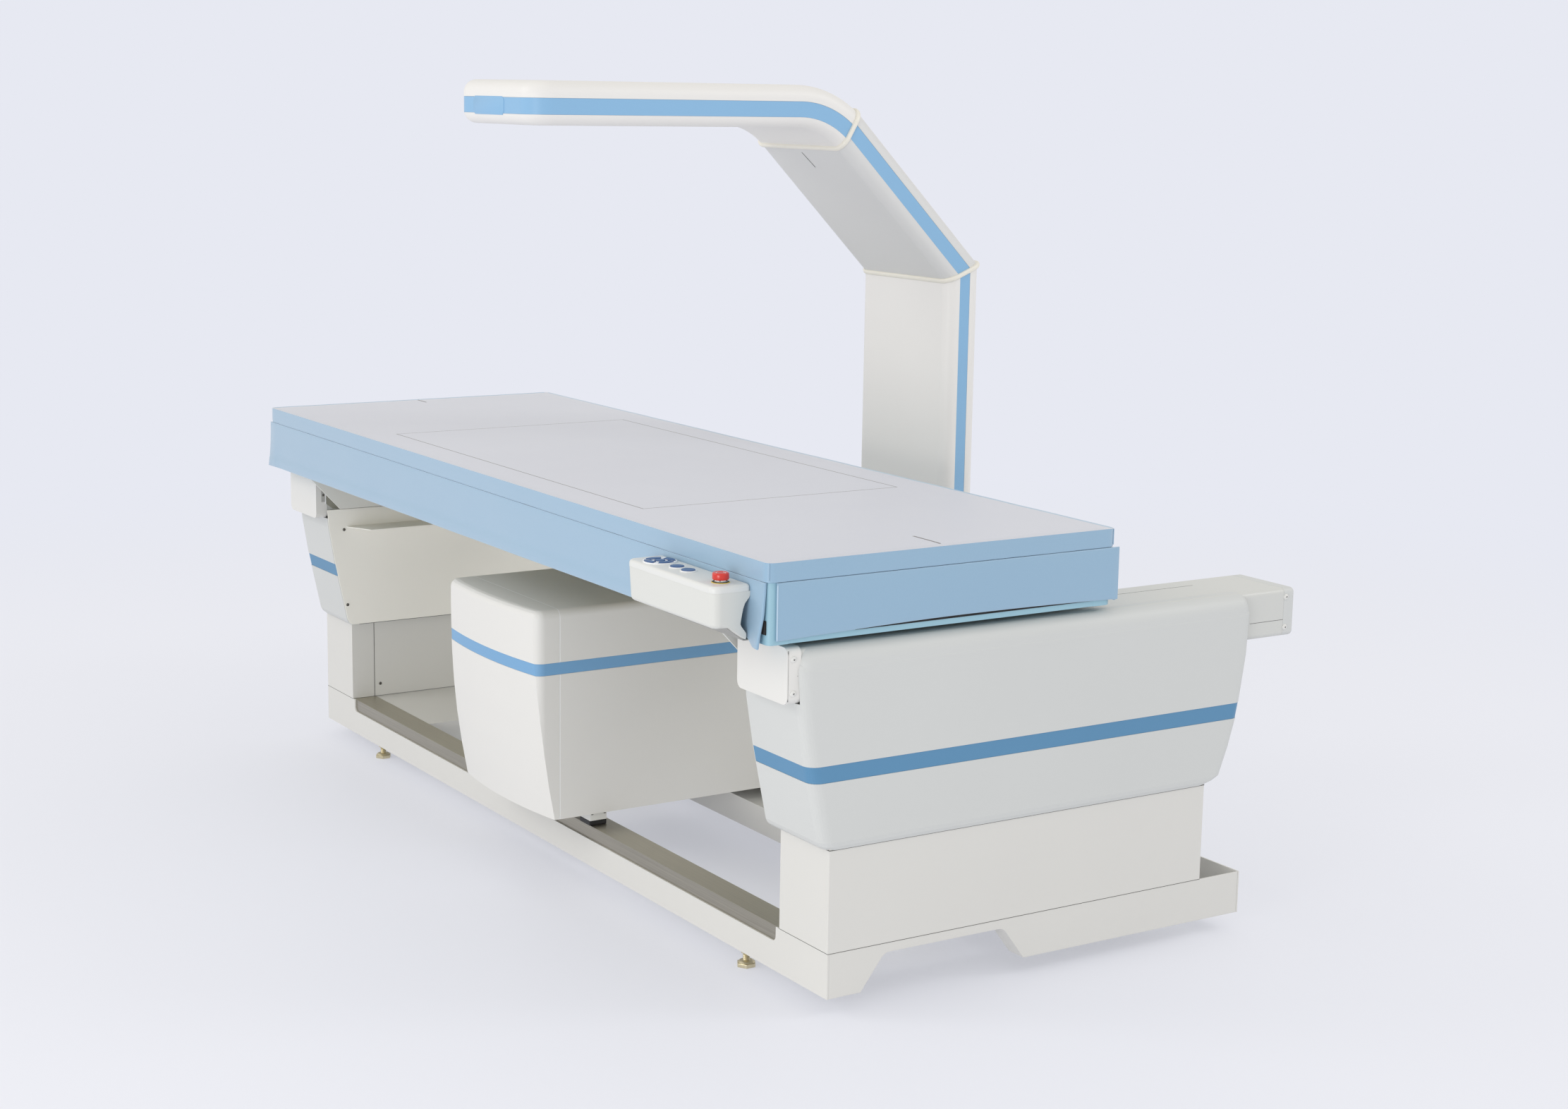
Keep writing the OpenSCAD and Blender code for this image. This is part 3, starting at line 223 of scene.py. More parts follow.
finishes = {
    "base_paint": moulded("basePaint", srgb(217, 216, 211), 0.42, 1400.0, sockets={"Coat Weight": 0.08}),
    # The covers' ivory is greyer than the tank's: painted shade on the covers' outer ends
    "cover_plastic": moulded("coverShadedPlastic", srgb(207, 209, 207), 0.5, 800.0),
    "band_blue": moulded("bandBlue", srgb(88, 140, 178), 0.45, 800.0, shift=0.93),
    "panel_paint": moulded("panelPaint", srgb(247, 245, 237), 0.44, 1400.0),
    "rail_paint": moulded("railPaint", srgb(208, 209, 205), 0.42, 1400.0, sockets={"Coat Weight": 0.1}),
    "guide_steel": metal("guideSteel", srgb(168, 168, 166), srgb(204, 204, 202), 0.2, (500, 5, 500)),
    "runway_steel": metal("runwaySteel", srgb(164, 159, 143), srgb(208, 203, 188), 0.26),
    "foot_zinc": metal("footZinc", srgb(196, 184, 150), srgb(226, 218, 190), 0.24, (300, 300, 20)),
    "post_paint": moulded("postPaint", srgb(206, 206, 202), 0.5, 1200.0),
    "drive_metal": metal("driveMetal", srgb(146, 146, 150), srgb(186, 186, 190), 0.3, (500, 8, 500)),
    "belt_rubber": moulded("beltRubber", srgb(30, 30, 31), 0.7, 600.0, bump=(0.4, 0.0004)),
    "frame_vinyl": vinyl("frameVinyl", srgb(158, 197, 212), srgb(144, 184, 200), 0.36),
    "top_panel": moulded("topBoard", srgb(208, 196, 168), 0.55, 60.0, 0.1, shift=0.85),
    "mat_vinyl": vinyl("matVinyl", srgb(213, 215, 223), srgb(206, 208, 217), 0.38, 0.3, (9, 9, 9),
                       sockets={"Sheen Weight": 0.06}),
    "skirt_vinyl": vinyl("skirtVinyl", srgb(147, 180, 204), srgb(136, 171, 197), 0.34,
                         sockets={"Sheen Weight": 0.6, "Sheen Roughness": 0.45,
                                  "Coat Weight": 0.5, "Coat Roughness": 0.3}),
    "slide_white": moulded("slidePaint", srgb(222, 222, 217), 0.42, 1400.0),
    "block_black": moulded("blockBlack", srgb(28, 28, 30), 0.5, 700.0, bump=(0.3, 0.0003)),
    "shell_plastic": moulded("shellPlastic", srgb(215, 216, 211), 0.4, 1000.0, bump=(0.06, 0.0002)),
    "lid_plastic": moulded("lidPlastic", srgb(222, 223, 220), 0.36, 1200.0, bump=(0.1, 0.0002)),
    # The bracket's dark grey is partly its own metal and partly painted shade from the table above it
    "bracket_paint": moulded("bracketShadedPaint", srgb(158, 158, 155), 0.42, 1400.0),
    "key_navy": moulded("keyNavy", srgb(40, 84, 142), 0.36, 900.0, shift=0.88, sockets={"Coat Weight": 0.15}),
    "stop_black": moulded("stopBlack", srgb(20, 20, 21), 0.42, 900.0),
    "stop_red": moulded("stopRed", srgb(214, 46, 34), 0.3, 500.0, 0.04, (0.05, 0.0002), 0.86,
                        {"Coat Weight": 0.3, "Coat Roughness": 0.15}),
    "source_metal": moulded("sourcePaint", srgb(180, 183, 188), 0.5, 900.0),
    "lead_brass": metal("collimatorBrass", srgb(196, 166, 104), srgb(222, 198, 140), 0.28, (300, 300, 20)),
    "motor_metal": metal("motorMetal", srgb(176, 177, 180), srgb(204, 205, 208), 0.34, (400, 400, 10)),
    "arm_steel": moulded("armSteel", srgb(222, 222, 218), 0.45, 1400.0),
    "ring_cream": moulded("ringCream", srgb(236, 232, 220), 0.36, 900.0, bump=(0.05, 0.0002)),
}
armBlue = moulded("armBlue", srgb(138, 184, 220), 0.42, 800.0, shift=0.95)
rimWhite = moulded("rimWhite", srgb(244, 245, 246), 0.34, 900.0)
stopYellow = moulded("stopYellow", srgb(236, 208, 60), 0.4, 900.0)
screwZinc = moulded("screwPaint", srgb(224, 224, 220), 0.3, 900.0, sockets={"Coat Weight": 0.4})
screwDark = metal("screwDark", srgb(92, 90, 86), srgb(128, 126, 120), 0.34, (500, 500, 500))
# Dark for the screws' cross slots: painted shade in the recess
recessShadeDark = moulded("recessShadeDark", srgb(52, 51, 49), 0.6, 900.0)
gapDark = moulded("gapDark", srgb(64, 64, 62), 0.7, 900.0)
fuzzBlack = moulded("fuzzBlack", srgb(24, 24, 26), 0.85, 2600.0, 0.1, (1.0, 0.0012), 0.7,
                    {"Sheen Weight": 0.1, "Sheen Roughness": 0.5})
# Pale blue for the skirt welts: painted highlight
cordHighlightBlue = moulded("cordHighlightBlue", srgb(186, 209, 226), 0.42, 900.0)
windowGrey = moulded("windowGrey", srgb(176, 176, 172), 0.5, 900.0)
# Olive for the window's wedge of painted shade
hollowShadeOlive = moulded("hollowShadeOlive", srgb(150, 149, 136), 0.55, 900.0)
tankPlastic = moulded("tankPlastic", srgb(226, 225, 221), 0.48, 800.0)
armCream = moulded("armCream", srgb(234, 232, 228), 0.46, 900.0)
tankBlue = moulded("tankBlue", srgb(118, 168, 210), 0.44, 800.0, shift=0.93)
# Mid grey for the pedestal's seam lines and its painted shadow lines
seamAndShadowGrey = moulded("seamAndShadowGrey", srgb(96, 96, 92), 0.6, 900.0)
# The slant cover takes a darker copy of the arm's cream: painted shade on its downward-facing underside
slantShadedCream = moulded("slantShadedCream", srgb(218, 218, 216), 0.46, 900.0)

ownFinish = {"arm_bands": armBlue, "arm_cover": armCream, "slant_cover": slantShadedCream, "column_cover": armCream}
for nodeName, node in frame["nodes"].items():
    node.data.materials.clear()
    node.data.materials.append(ownFinish.get(nodeName, finishes[nodeSlot[nodeName]]))
print("finishes made:", len(bpy.data.materials))


# Mesh helpers
def bevelEdges(bm, edges, width, segments=2, clamp=True):
    if edges and width:
        bmesh.ops.bevel(bm, geom=edges, offset=width, offset_type="OFFSET", segments=segments,
                        profile=0.5, affect="EDGES", clamp_overlap=clamp, material=-1)


def sharpEdges(bm, degrees=30):
    return [e for e in bm.edges if len(e.link_faces) == 2 and e.calc_face_angle(0) > math.radians(degrees)]


def along(edge, axis):
    direction = edge.verts[1].co - edge.verts[0].co
    return direction.length > 0 and abs(direction.normalized()[axis]) > 0.99


def running(bm, *axes):
    return [e for e in bm.edges if any(along(e, axis) for axis in axes)]


def middle(edge):
    return (edge.verts[0].co + edge.verts[1].co) / 2


def boxMesh(low, high, width=0.0, segments=2):
    bm = bmesh.new()
    bmesh.ops.create_cube(bm, size=1)
    size = Vector(high) - Vector(low)
    bmesh.ops.scale(bm, vec=size, verts=bm.verts)
    bmesh.ops.translate(bm, vec=Vector(low) + size / 2, verts=bm.verts)
    bevelEdges(bm, bm.edges[:], width, segments)
    return bm


def cutAcross(bm, axis, places):
    normal = [0, 0, 0]
    normal[axis] = 1
    for place in places:
        spot = [0, 0, 0]
        spot[axis] = place
        bmesh.ops.bisect_plane(bm, geom=bm.verts[:] + bm.edges[:] + bm.faces[:], dist=1e-6,
                               plane_co=spot, plane_no=normal)


def pushed(bm, grown, offset):
    bmesh.ops.translate(bm, vec=offset, verts=[v for v in grown["geom"] if isinstance(v, bmesh.types.BMVert)])


# Places between start and end, without the two themselves
def steps(start, end, pitch):
    count = max(1, round(abs(end - start) / pitch))
    return [start + (end - start) * k / count for k in range(1, count)]


# A radius and height profile spun round the upright axis
def turned(profile, sides=32):
    bm = bmesh.new()
    rim = [bm.verts.new((r, 0, z)) for r, z in profile]
    line = [bm.edges.new(pair) for pair in zip(rim, rim[1:])]
    bmesh.ops.spin(bm, geom=rim + line, cent=(0, 0, 0), axis=(0, 0, 1), angle=2 * math.pi,
                   steps=sides, use_merge=True)
    bmesh.ops.remove_doubles(bm, verts=bm.verts, dist=1e-6)
    bmesh.ops.recalc_face_normals(bm, faces=bm.faces)
    return bm


def facing(axis):
    return Vector((0, 0, 1)).rotation_difference(Vector(axis)).to_matrix().to_4x4()


def spread(side, first, second):
    return sorted((side * first, side * second))


def moved(bm, matrix):
    bmesh.ops.transform(bm, matrix=matrix, verts=bm.verts)
    return bm


def tinted(bm, index):
    for face in bm.faces:
        face.material_index = index
    return bm


def joined(parts):
    whole = bmesh.new()
    for part in parts:
        mesh = bpy.data.meshes.new("part")
        part.to_mesh(mesh)
        part.free()
        whole.from_mesh(mesh)
        bpy.data.meshes.remove(mesh)
    return whole


def piece(name, bm, materials, body, standsFor=(), sharpAngle=35):
    mesh = bpy.data.meshes.new(name)
    bm.to_mesh(mesh)
    bm.free()
    if mesh.attributes.get("custom_normal"):
        mesh.attributes.remove(mesh.attributes["custom_normal"])
    for material in materials if isinstance(materials, (list, tuple)) else [materials]:
        mesh.materials.append(material)
    mesh.shade_smooth()
    mesh.set_sharp_from_angle(angle=math.radians(sharpAngle))
    obj = bpy.data.objects.new(name, mesh)
    bpy.context.collection.objects.link(obj)
    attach(obj, body)
    if standsFor:
        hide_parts(*standsFor)
    return obj


def weigh(obj):
    modifier = obj.modifiers.new("evenFaces", "WEIGHTED_NORMAL")
    modifier.keep_sharp = True
    return obj


def twoTone(obj, material, chosen):
    obj.data.materials.append(material)
    for polygon in obj.data.polygons:
        polygon.material_index = 1 if chosen(polygon) else 0


# A merged copy of a node's mesh, its flat faces whole again, because the node itself is left alone
def nodeMesh(node, flatten=True):
    bm = bmesh.new()
    bm.from_mesh(frame["nodes"][node].data)
    bmesh.ops.remove_doubles(bm, verts=bm.verts, dist=1e-5)
    if flatten:
        bmesh.ops.dissolve_limit(bm, angle_limit=math.radians(0.3), use_dissolve_boundaries=False,
                                 verts=bm.verts, edges=bm.edges)
    return bm


def softCopy(node, edge=0.001, rounds=(), material=None):
    bm = nodeMesh(node)
    for chosen, width, segments in rounds:
        bevelEdges(bm, [e for e in sharpEdges(bm) if chosen(e)], width, segments)
    bevelEdges(bm, sharpEdges(bm), edge, 2)
    slot = nodeSlot[node]
    return weigh(piece(node + "_soft", bm, material or finishes[slot], bodyOf[node], [node]))


def corners(node):
    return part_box(node)


# Sheet metal and mouldings get broken edges
sheetEdges = {"front_beam": 0.0016, "rear_beam": 0.0016, "right_end_frame": 0.0012, "left_end_frame": 0.0012,
              "equipment_deck": 0.0008, "runways": 0.0012, "right_pedestal": 0.0012, "left_pedestal": 0.0012,
              "right_inner_panel": 0.0008, "left_inner_panel": 0.0008, "slide_plates": 0.0009,
              "panel_bracket": 0.0007, "carriage": 0.0012, "slide_blocks": 0.0012, "guide_bars": 0.001,
              "bearing_blocks": 0.001}
for nodeName, width in sheetEdges.items():
    softCopy(nodeName, width)

# The runways' front and back faces take a darker copy of the steel: painted shade on the faces turned from
# the light
upright = metal("runwayUprightShade", srgb(132, 128, 118), srgb(190, 185, 172), 0.24)
twoTone(bpy.data.objects["runways_soft"], upright, lambda face: abs(face.normal.y) > 0.7)

# The caps' front rim is rounded, but not where it meets their outer end
capRound = {"face": 0.0105, "rest": 0.0008, "segments": 5, "square": 0.001}
for nodeName in ("right_front_cap", "left_front_cap"):
    low, high = corners(nodeName)
    outerX = high.x if high.x > 0 else low.x
    frontRim = lambda e: abs(middle(e).y - low.y) < 1e-4 and abs(middle(e).x - outerX) > capRound["square"]
    softCopy(nodeName, capRound["rest"], [(frontRim, capRound["face"], capRound["segments"])], tankPlastic)

railRound = {"end": 0.006, "segments": 4, "rest": 0.0006}
backFace = corners("rail_rear_caps")[1].y
softCopy("rail_rear_caps", railRound["rest"],
         [(lambda e: abs(middle(e).y - backFace) < 1e-4, railRound["end"], railRound["segments"])])
for nodeName in ("right_cross_rail", "left_cross_rail"):
    softCopy(nodeName, railRound["rest"])

# The tank's seam is rounded on its outside only, and the nose's top is lowered to a crown on a cut grid
seamRound = {"width": 0.0014, "segments": 3, "near": 6e-4, "skin": 0.0022, "bow": 0.03, "bowSkin": 0.0275}
seamY = corners("tank_cover")[0].y
nose = {"plan": 0.022, "flat": -0.477, "crown": 0.014, "slack": 0.0003, "margin": 0.010, "past": 0.001,
        "insets": (0.0002, 0.0006, 0.0013, 0.0024, 0.0040, 0.0062, 0.0088, 0.0114, 0.0140), "grid": 0.0022}


# How far the crown lies under the flat top at a point
def crownDrop(p, low, high):
    inset = min(p.x - low.x, high.x - p.x)
    if p.y < nose["flat"] and inset < nose["plan"]:
        inset = nose["plan"] - math.hypot(nose["plan"] - inset, p.y - nose["flat"]) - nose["slack"]
    inset = min(max(inset, 0), nose["crown"])
    return nose["crown"] - math.sqrt(nose["crown"] ** 2 - (nose["crown"] - inset) ** 2)


def crownNose(bm, low, high):
    insets = nose["insets"] + tuple(steps(0, nose["plan"] + nose["margin"], nose["grid"]))
    cutAcross(bm, 0, [low.x + inset for inset in insets] + [high.x - inset for inset in insets])
    cutAcross(bm, 1, steps(low.y, nose["flat"] + nose["past"], nose["grid"]))
    cutAcross(bm, 2, [high.z - nose["crown"]])
    for vert in bm.verts:
        vert.co.z = min(vert.co.z, high.z - crownDrop(vert.co, low, high))
    bmesh.ops.remove_doubles(bm, verts=bm.verts, dist=2e-5)
    bmesh.ops.dissolve_degenerate(bm, dist=1e-5, edges=bm.edges)


def onTankSkin(p, low, high):
    toSide = min(p.x - low.x, high.x - p.x)
    if min(toSide, high.z - p.z, p.z - low.z) < seamRound["skin"]:
        return True
    bow = seamRound["bow"]
    reach = math.hypot(max(low.x + bow - p.x, p.x - high.x + bow), p.z - high.z + bow)
    return p.z > high.z - bow and toSide < bow and reach > seamRound["bowSkin"]


def buildTankPart(node):
    low, high = corners(node)
    bm = nodeMesh(node)
    if node == "tank_nose":
        crownNose(bm, low, high)
    rim = [e for e in sharpEdges(bm, 60)
           if abs(middle(e).y - seamY) < seamRound["near"] and onTankSkin(middle(e), low, high)]
    bevelEdges(bm, rim, seamRound["width"], seamRound["segments"], False)
    weigh(piece(node + "_soft", bm, tankPlastic, "carm", [node]))
    return len(rim)


print("tank seam edges:", buildTankPart("tank_cover"), buildTankPart("tank_nose"))

# Shoulders that close the end covers up to the rails
shoulder = {"centre": (0.9895, 0.5692), "radius": 0.0263, "front": -0.4444, "back": 0.4638, "dome": 0.0200,
            "coverFront": -0.4459, "coverBack": 0.4653, "thick": 0.0012, "drop": 0.014,
            "lip": (0.012, 0.0006), "turn": 9, "fine": 0.0016, "coarse": 0.05, "sink": 0.85}


# How far the shoulder draws in near the cover's rounded front and back
def domeInset(y):
    deep = max(shoulder["coverFront"] + shoulder["dome"] - y, y - shoulder["coverBack"] + shoulder["dome"], 0)
    return shoulder["dome"] - math.sqrt(max(shoulder["dome"] ** 2 - deep ** 2, 0))


def buildShoulder(side):
    (cx, cz), r = shoulder["centre"], shoulder["radius"]
    reach, under = shoulder["lip"]
    turns = [math.radians(a) for a in range(0, 91, shoulder["turn"])]
    profile = [(cx + r * math.cos(a), cz + r * math.sin(a)) for a in turns]
    profile = [(cx + r, cz - shoulder["drop"])] + profile + [(cx - reach, cz + r - under)]
    start, end, dome = shoulder["front"], shoulder["back"], shoulder["dome"]
    bm = bmesh.new()
    rim = [bm.verts.new((side * x, start, z)) for x, z in profile]
    line = [bm.edges.new(pair) for pair in zip(rim, rim[1:])]
    pushed(bm, bmesh.ops.extrude_edge_only(bm, edges=line), (0, end - start, 0))
    cutAcross(bm, 1, steps(start, start + dome, shoulder["fine"])
              + steps(start + dome, end - dome, shoulder["coarse"])
              + steps(end - dome, end, shoulder["fine"]))
    for vert in bm.verts:
        inset = domeInset(vert.co.y)
        vert.co.z -= inset * shoulder["sink"]
        vert.co.x -= side * inset
    bmesh.ops.recalc_face_normals(bm, faces=bm.faces)
    bmesh.ops.solidify(bm, geom=bm.faces[:], thickness=shoulder["thick"])
    bmesh.ops.recalc_face_normals(bm, faces=bm.faces)
    name = "right_shoulder" if side > 0 else "left_shoulder"
    piece(name, bm, finishes["cover_plastic"], "base", sharpAngle=60)


for side in (1, -1):
    buildShoulder(side)

# Light bead in the tank's seam, a slice of the cover's own outline; its white is a painted highlight along
# the seam's edge
highlight_bead = {"width": 0.0013, "sink": 0.0002}


def buildHighlightBead():
    bm = nodeMesh("tank_cover", flatten=False)
    bmesh.ops.bisect_plane(bm, geom=bm.verts[:] + bm.edges[:] + bm.faces[:], dist=1e-6,
                           plane_co=(0, seamY + highlight_bead["width"], 0), plane_no=(0, 1, 0), clear_outer=True)
    low, high = corners("tank_cover")
    centre, half = (low + high) / 2, (high - low) / 2
    for vert in bm.verts:
        for axis in (0, 2):
            shrink = 1 - highlight_bead["sink"] / half[axis]
            vert.co[axis] = centre[axis] + (vert.co[axis] - centre[axis]) * shrink
        vert.co.y -= highlight_bead["width"] / 2
    piece("tank_seam_gasket", bm, rimWhite, "carm")


buildHighlightBead()
bandSplit = {"height": 0.6, "edge": 0.0002}
bands = softCopy("arm_bands", bandSplit["edge"], material=armBlue)
twoTone(bands, tankBlue, lambda face: face.center.z < bandSplit["height"])

ringSoft = {"edge": 0.0034, "segments": 4}
softCopy("bend_rings", 0.0, [(lambda e: True, ringSoft["edge"], ringSoft["segments"])])
hairline = {"from": (0.0432, 0.1647, 1.3056), "to": (0.0486, 0.1925, 1.2778), "radius": 0.0004}
start, end = Vector(hairline["from"]), Vector(hairline["to"])
length, radius = (end - start).length, hairline["radius"]
wire = turned([(0, 0), (radius, 0), (radius, length), (0, length)], 8)
piece("slant_hairline", moved(wire, Matrix.Translation(start) @ facing(end - start)), gapDark, "carm")
print("shoulders, gasket and rings made")

# Mat and skirts: their free points move out under cloth pressure, none further than the cap, and stay there
clothRun = {"quality": 6, "mass": 0.3}


def puffed(obj, held, settings):
    group = obj.vertex_groups.new(name="held")
    group.add([v.index for v in obj.data.vertices if held(v.co)], 1.0, "REPLACE")
    rest = [v.co.copy() for v in obj.data.vertices]
    cloth = obj.modifiers.new("cloth", "CLOTH")
    cloth.settings.quality = clothRun["quality"]
    cloth.settings.mass = clothRun["mass"]
    cloth.settings.tension_stiffness = settings["stiffness"]
    cloth.settings.compression_stiffness = settings["stiffness"]
    cloth.settings.bending_stiffness = settings["bending"]
    cloth.settings.use_pressure = True
    cloth.settings.uniform_pressure_force = settings["pressure"]
    cloth.settings.effector_weights.gravity = 0
    cloth.settings.vertex_group_mass = "held"
    for step in range(1, settings["frames"] + 1):
        bpy.context.scene.frame_set(step)
    blown = obj.evaluated_get(bpy.context.evaluated_depsgraph_get()).data
    for vertex, start, end in zip(obj.data.vertices, rest, [v.co.copy() for v in blown.vertices]):
        step = end - start
        if step.length > settings["cap"]:
            step *= settings["cap"] / step.length
        vertex.co = start + step
    obj.modifiers.clear()
    obj.vertex_groups.clear()
    bpy.context.scene.frame_set(1)
    obj.data.update()
    return obj


mat = {"corner": 0.013, "lip": 0.0035, "lipDrop": 0.0009, "bottomTuck": 0.0007, "cell": 0.018,
       "topBand": 0.002, "layers": (0.28, 0.46, 0.64, 0.82),
       "heldBottom": 0.004, "heldTop": 0.0015, "heldRim": 0.001,
       "puff": {"stiffness": 60, "bending": 6, "pressure": 4.5, "frames": 14, "cap": 0.0022},
       "pucker": 0.00025, "puckerReach": 0.03, "puckerSize": (16, 16, 40),
       "ink": srgb(92, 86, 86), "inkShare": 0.92, "line": 0.0022,
       "frameLine": (-0.5049, 0.5061, -0.4357, 0.0808),
       "ticks": ((-0.991, -0.9445, -0.1705), (0.9231, 0.9955, -0.1809))}


# A mask that is one inside the border of a box
def printedLine(tree, x, y, box, width):
    left, right, front, back = box
    depths = []
    for value, start, end in ((x, left, right), (y, front, back)):
        offCentre = calc(tree, "ABSOLUTE", calc(tree, "SUBTRACT", value, (start + end) / 2))
        depths.append(calc(tree, "SUBTRACT", (end - start) / 2, offCentre))
    inside = calc(tree, "MINIMUM", *depths)
    return calc(tree, "MULTIPLY", calc(tree, "GREATER_THAN", inside, 0.0),
                calc(tree, "LESS_THAN", inside, width))


def printMat(material):
    tree = material.node_tree
    shader = tree.nodes["Principled BSDF"]
    ground = shader.inputs["Base Color"].links[0].from_socket
    split = tree.nodes.new("ShaderNodeSeparateXYZ")
    tree.links.new(tree.nodes.new("ShaderNodeTexCoord").outputs["Object"], split.inputs[0])
    x, y = split.outputs["X"], split.outputs["Y"]
    ink = printedLine(tree, x, y, mat["frameLine"], mat["line"])
    for start, end, place in mat["ticks"]:
        tick = printedLine(tree, x, y, (start, end, place - mat["line"], place + mat["line"]), 1.0)
        ink = calc(tree, "MAXIMUM", ink, tick)
    worn = calc(tree, "MULTIPLY", ink, mat["inkShare"])
    tree.links.new(mixColour(tree, worn, ground, mat["ink"]), shader.inputs["Base Color"])


def buildMat():
    low, high = corners("mat")
    bm = boxMesh(low, high)
    bevelEdges(bm, running(bm, 2), mat["corner"], 4)
    top = [f for f in bm.faces if f.normal.z > 0.9]
    bmesh.ops.inset_region(bm, faces=top, thickness=mat["lip"], depth=-mat["lipDrop"], use_even_offset=True)
    bottom = [f for f in bm.faces if f.normal.z < -0.9]
    bmesh.ops.inset_region(bm, faces=bottom, thickness=mat["bottomTuck"], depth=0, use_even_offset=True)
    for vert in {v for f in bm.faces if f.normal.z > -0.1 for v in f.verts if v.co.z < low.z + 1e-5}:
        vert.co.z += mat["bottomTuck"]
    cutAcross(bm, 0, steps(low.x, high.x, mat["cell"]))
    cutAcross(bm, 1, steps(low.y, high.y, mat["cell"]))
    cutAcross(bm, 2, [low.z + (high.z - low.z) * share for share in mat["layers"]])
    edge = lambda p: min(p.x - low.x, high.x - p.x, p.y - low.y, high.y - p.y)
    for face in bm.faces:
        centre = face.calc_center_median()
        onTop = face.normal.z > 0.5 and centre.z > high.z - mat["topBand"]
        face.material_index = 0 if onTop and edge(centre) > mat["lip"] * 0.9 else 1
    obj = piece("scanning_mat", bm, [finishes["mat_vinyl"], finishes["skirt_vinyl"]], "table",
                ["mat"])
    onRim = lambda p: p.z > high.z - mat["heldTop"] and edge(p) < mat["lip"] + mat["heldRim"]
    held = lambda p: p.z < low.z + mat["heldBottom"] or onRim(p)
    puffed(obj, held, mat["puff"])
    for vertex in obj.data.vertices:
        near = 1 - smoothStep(edge(vertex.co), 0.0, mat["puckerReach"])
        ripple = noise.noise(vertex.co * Vector(mat["puckerSize"]))
        vertex.co += vertex.normal * ripple * mat["pucker"] * near
    printMat(finishes["mat_vinyl"])


bead = {"radius": 0.0011, "neck": 0.7, "cap": 0.0006, "inset": 0.0035, "lift": 0.0032, "shorter": 0.004}


def buildMatSeams():
    low, high = corners("mat")
    tall, r, cap = high.z - low.z - bead["shorter"], bead["radius"], bead["cap"]
    neck = r * bead["neck"]
    beads = []
    for x in (low.x + bead["inset"], high.x - bead["inset"]):
        for y in (low.y + bead["inset"], high.y - bead["inset"]):
            rod = turned([(0, 0), (neck, 0), (r, cap), (r, tall - cap), (neck, tall), (0, tall)], 10)
            beads.append(moved(rod, Matrix.Translation((x, y, low.z + bead["lift"]))))
    piece("mat_corner_seams", joined(beads), finishes["skirt_vinyl"], "table")


buildMat()
buildMatSeams()
print("mat made")

skirt = {"thick": 0.0042, "cell": 0.012, "round": 0.0019, "row": 0.009, "rowLow": 0.006, "rowHigh": 0.005,
         "held": 0.001, "puff": {"stiffness": 40, "bending": 4, "pressure": 3.0, "frames": 10, "cap": 0.002}}
# The front skirt hangs free at the right end: curled out, lifted at a fold, sagging past it
flap = {"lower": 0.0038, "hem": 0.020, "hemStep": 0.0005, "hemCut": 0.0012, "rows": (0.024, 0.004, 0.008),
        "flat": 0.88, "wideCell": 0.03, "cell": 0.005, "start": 0.940, "end": 1.003, "past": 0.012,
        "curl": 0.009, "curlTop": 0.05, "curlPower": 1.2, "wave": 0.0012, "waveSize": 5,
        "fold": 0.932, "foldWidth": 0.022, "foldLift": 0.012, "sag": 0.007, "sagFrom": 0.955, "sagTo": 0.985,
        "tuck": 0.008, "tuckFrom": 0.96, "tuckTop": 0.45,
        "flare": 0.006, "flareOut": 0.004, "flareReach": 0.05}


def buildFrontSkirt():
    low, high = corners("front_skirt")
    low.z -= flap["lower"]
    high.x = flap["end"]
    tall, hemTop = high.z - low.z, low.z + flap["hem"]
    bm = boxMesh((low.x, high.y - skirt["thick"], low.z), (high.x, high.y, high.z))
    bevelEdges(bm, running(bm, 0, 2), skirt["round"] * 0.7, 3)
    cutAcross(bm, 0, steps(low.x, flap["flat"], flap["wideCell"]) + [flap["flat"]]
              + steps(flap["flat"], high.x, flap["cell"]))
    bottom, top, pitch = flap["rows"]
    cutAcross(bm, 2, [hemTop - flap["hemCut"], hemTop] + steps(low.z + bottom, high.z - top, pitch))
    for vert in bm.verts:
        x, down = vert.co.x, (high.z - vert.co.z) / tall
        outer = (high.y - vert.co.y) / skirt["thick"]
        if vert.co.z < hemTop - flap["hemStep"] and outer > 0.5:
            vert.co.y -= flap["hemStep"]
        curl = smoothStep(x, flap["start"], high.x + flap["past"])
        lean = flap["curlTop"] + (1 - flap["curlTop"]) * down ** flap["curlPower"]
        vert.co.y -= flap["curl"] * curl * lean
        vert.co.y -= flap["wave"] * down * noise.noise(Vector((x * flap["waveSize"], 0, 1.7)))
        vert.co.z += flap["foldLift"] * down ** 3 * math.exp(-((x - flap["fold"]) / flap["foldWidth"]) ** 2)
        vert.co.z -= flap["sag"] * down ** 3 * smoothStep(x, flap["sagFrom"], flap["sagTo"])
        tuck = smoothStep(down, flap["tuckTop"], 1.0) * smoothStep(x, flap["tuckFrom"], high.x)
        vert.co.x -= flap["tuck"] * tuck
        left = smoothStep(-x, -low.x - flap["flareReach"], -low.x)
        vert.co.x -= flap["flare"] * left * down ** 2
        vert.co.y -= flap["flareOut"] * left * down ** 2
    bmesh.ops.recalc_face_normals(bm, faces=bm.faces)
    obj = piece("front_skirt_flap", bm, finishes["skirt_vinyl"], "table", ["front_skirt"])


endSkirt = {"past": 0.007, "bottom": 0.002, "top": 0.0004, "seam": (0.0035, 0.005), "margins": (0.012, 0.004),
            "heldRim": 0.0045, "slope": 0.0027, "arch": 0.0068, "wave": 0.0016, "waveSize": 5, "lean": 0.0012,
            "leanFrom": 0.94}
# Welt along each end skirt's front edge; its pale blue is a painted highlight on that rounded edge
cord = {"radius": 0.0010, "neck": 0.0008, "shoulder": 0.0003, "cap": 0.001, "shorter": 0.007,
        "sink": 0.0004, "inset": 0.0008, "lift": 0.0035}


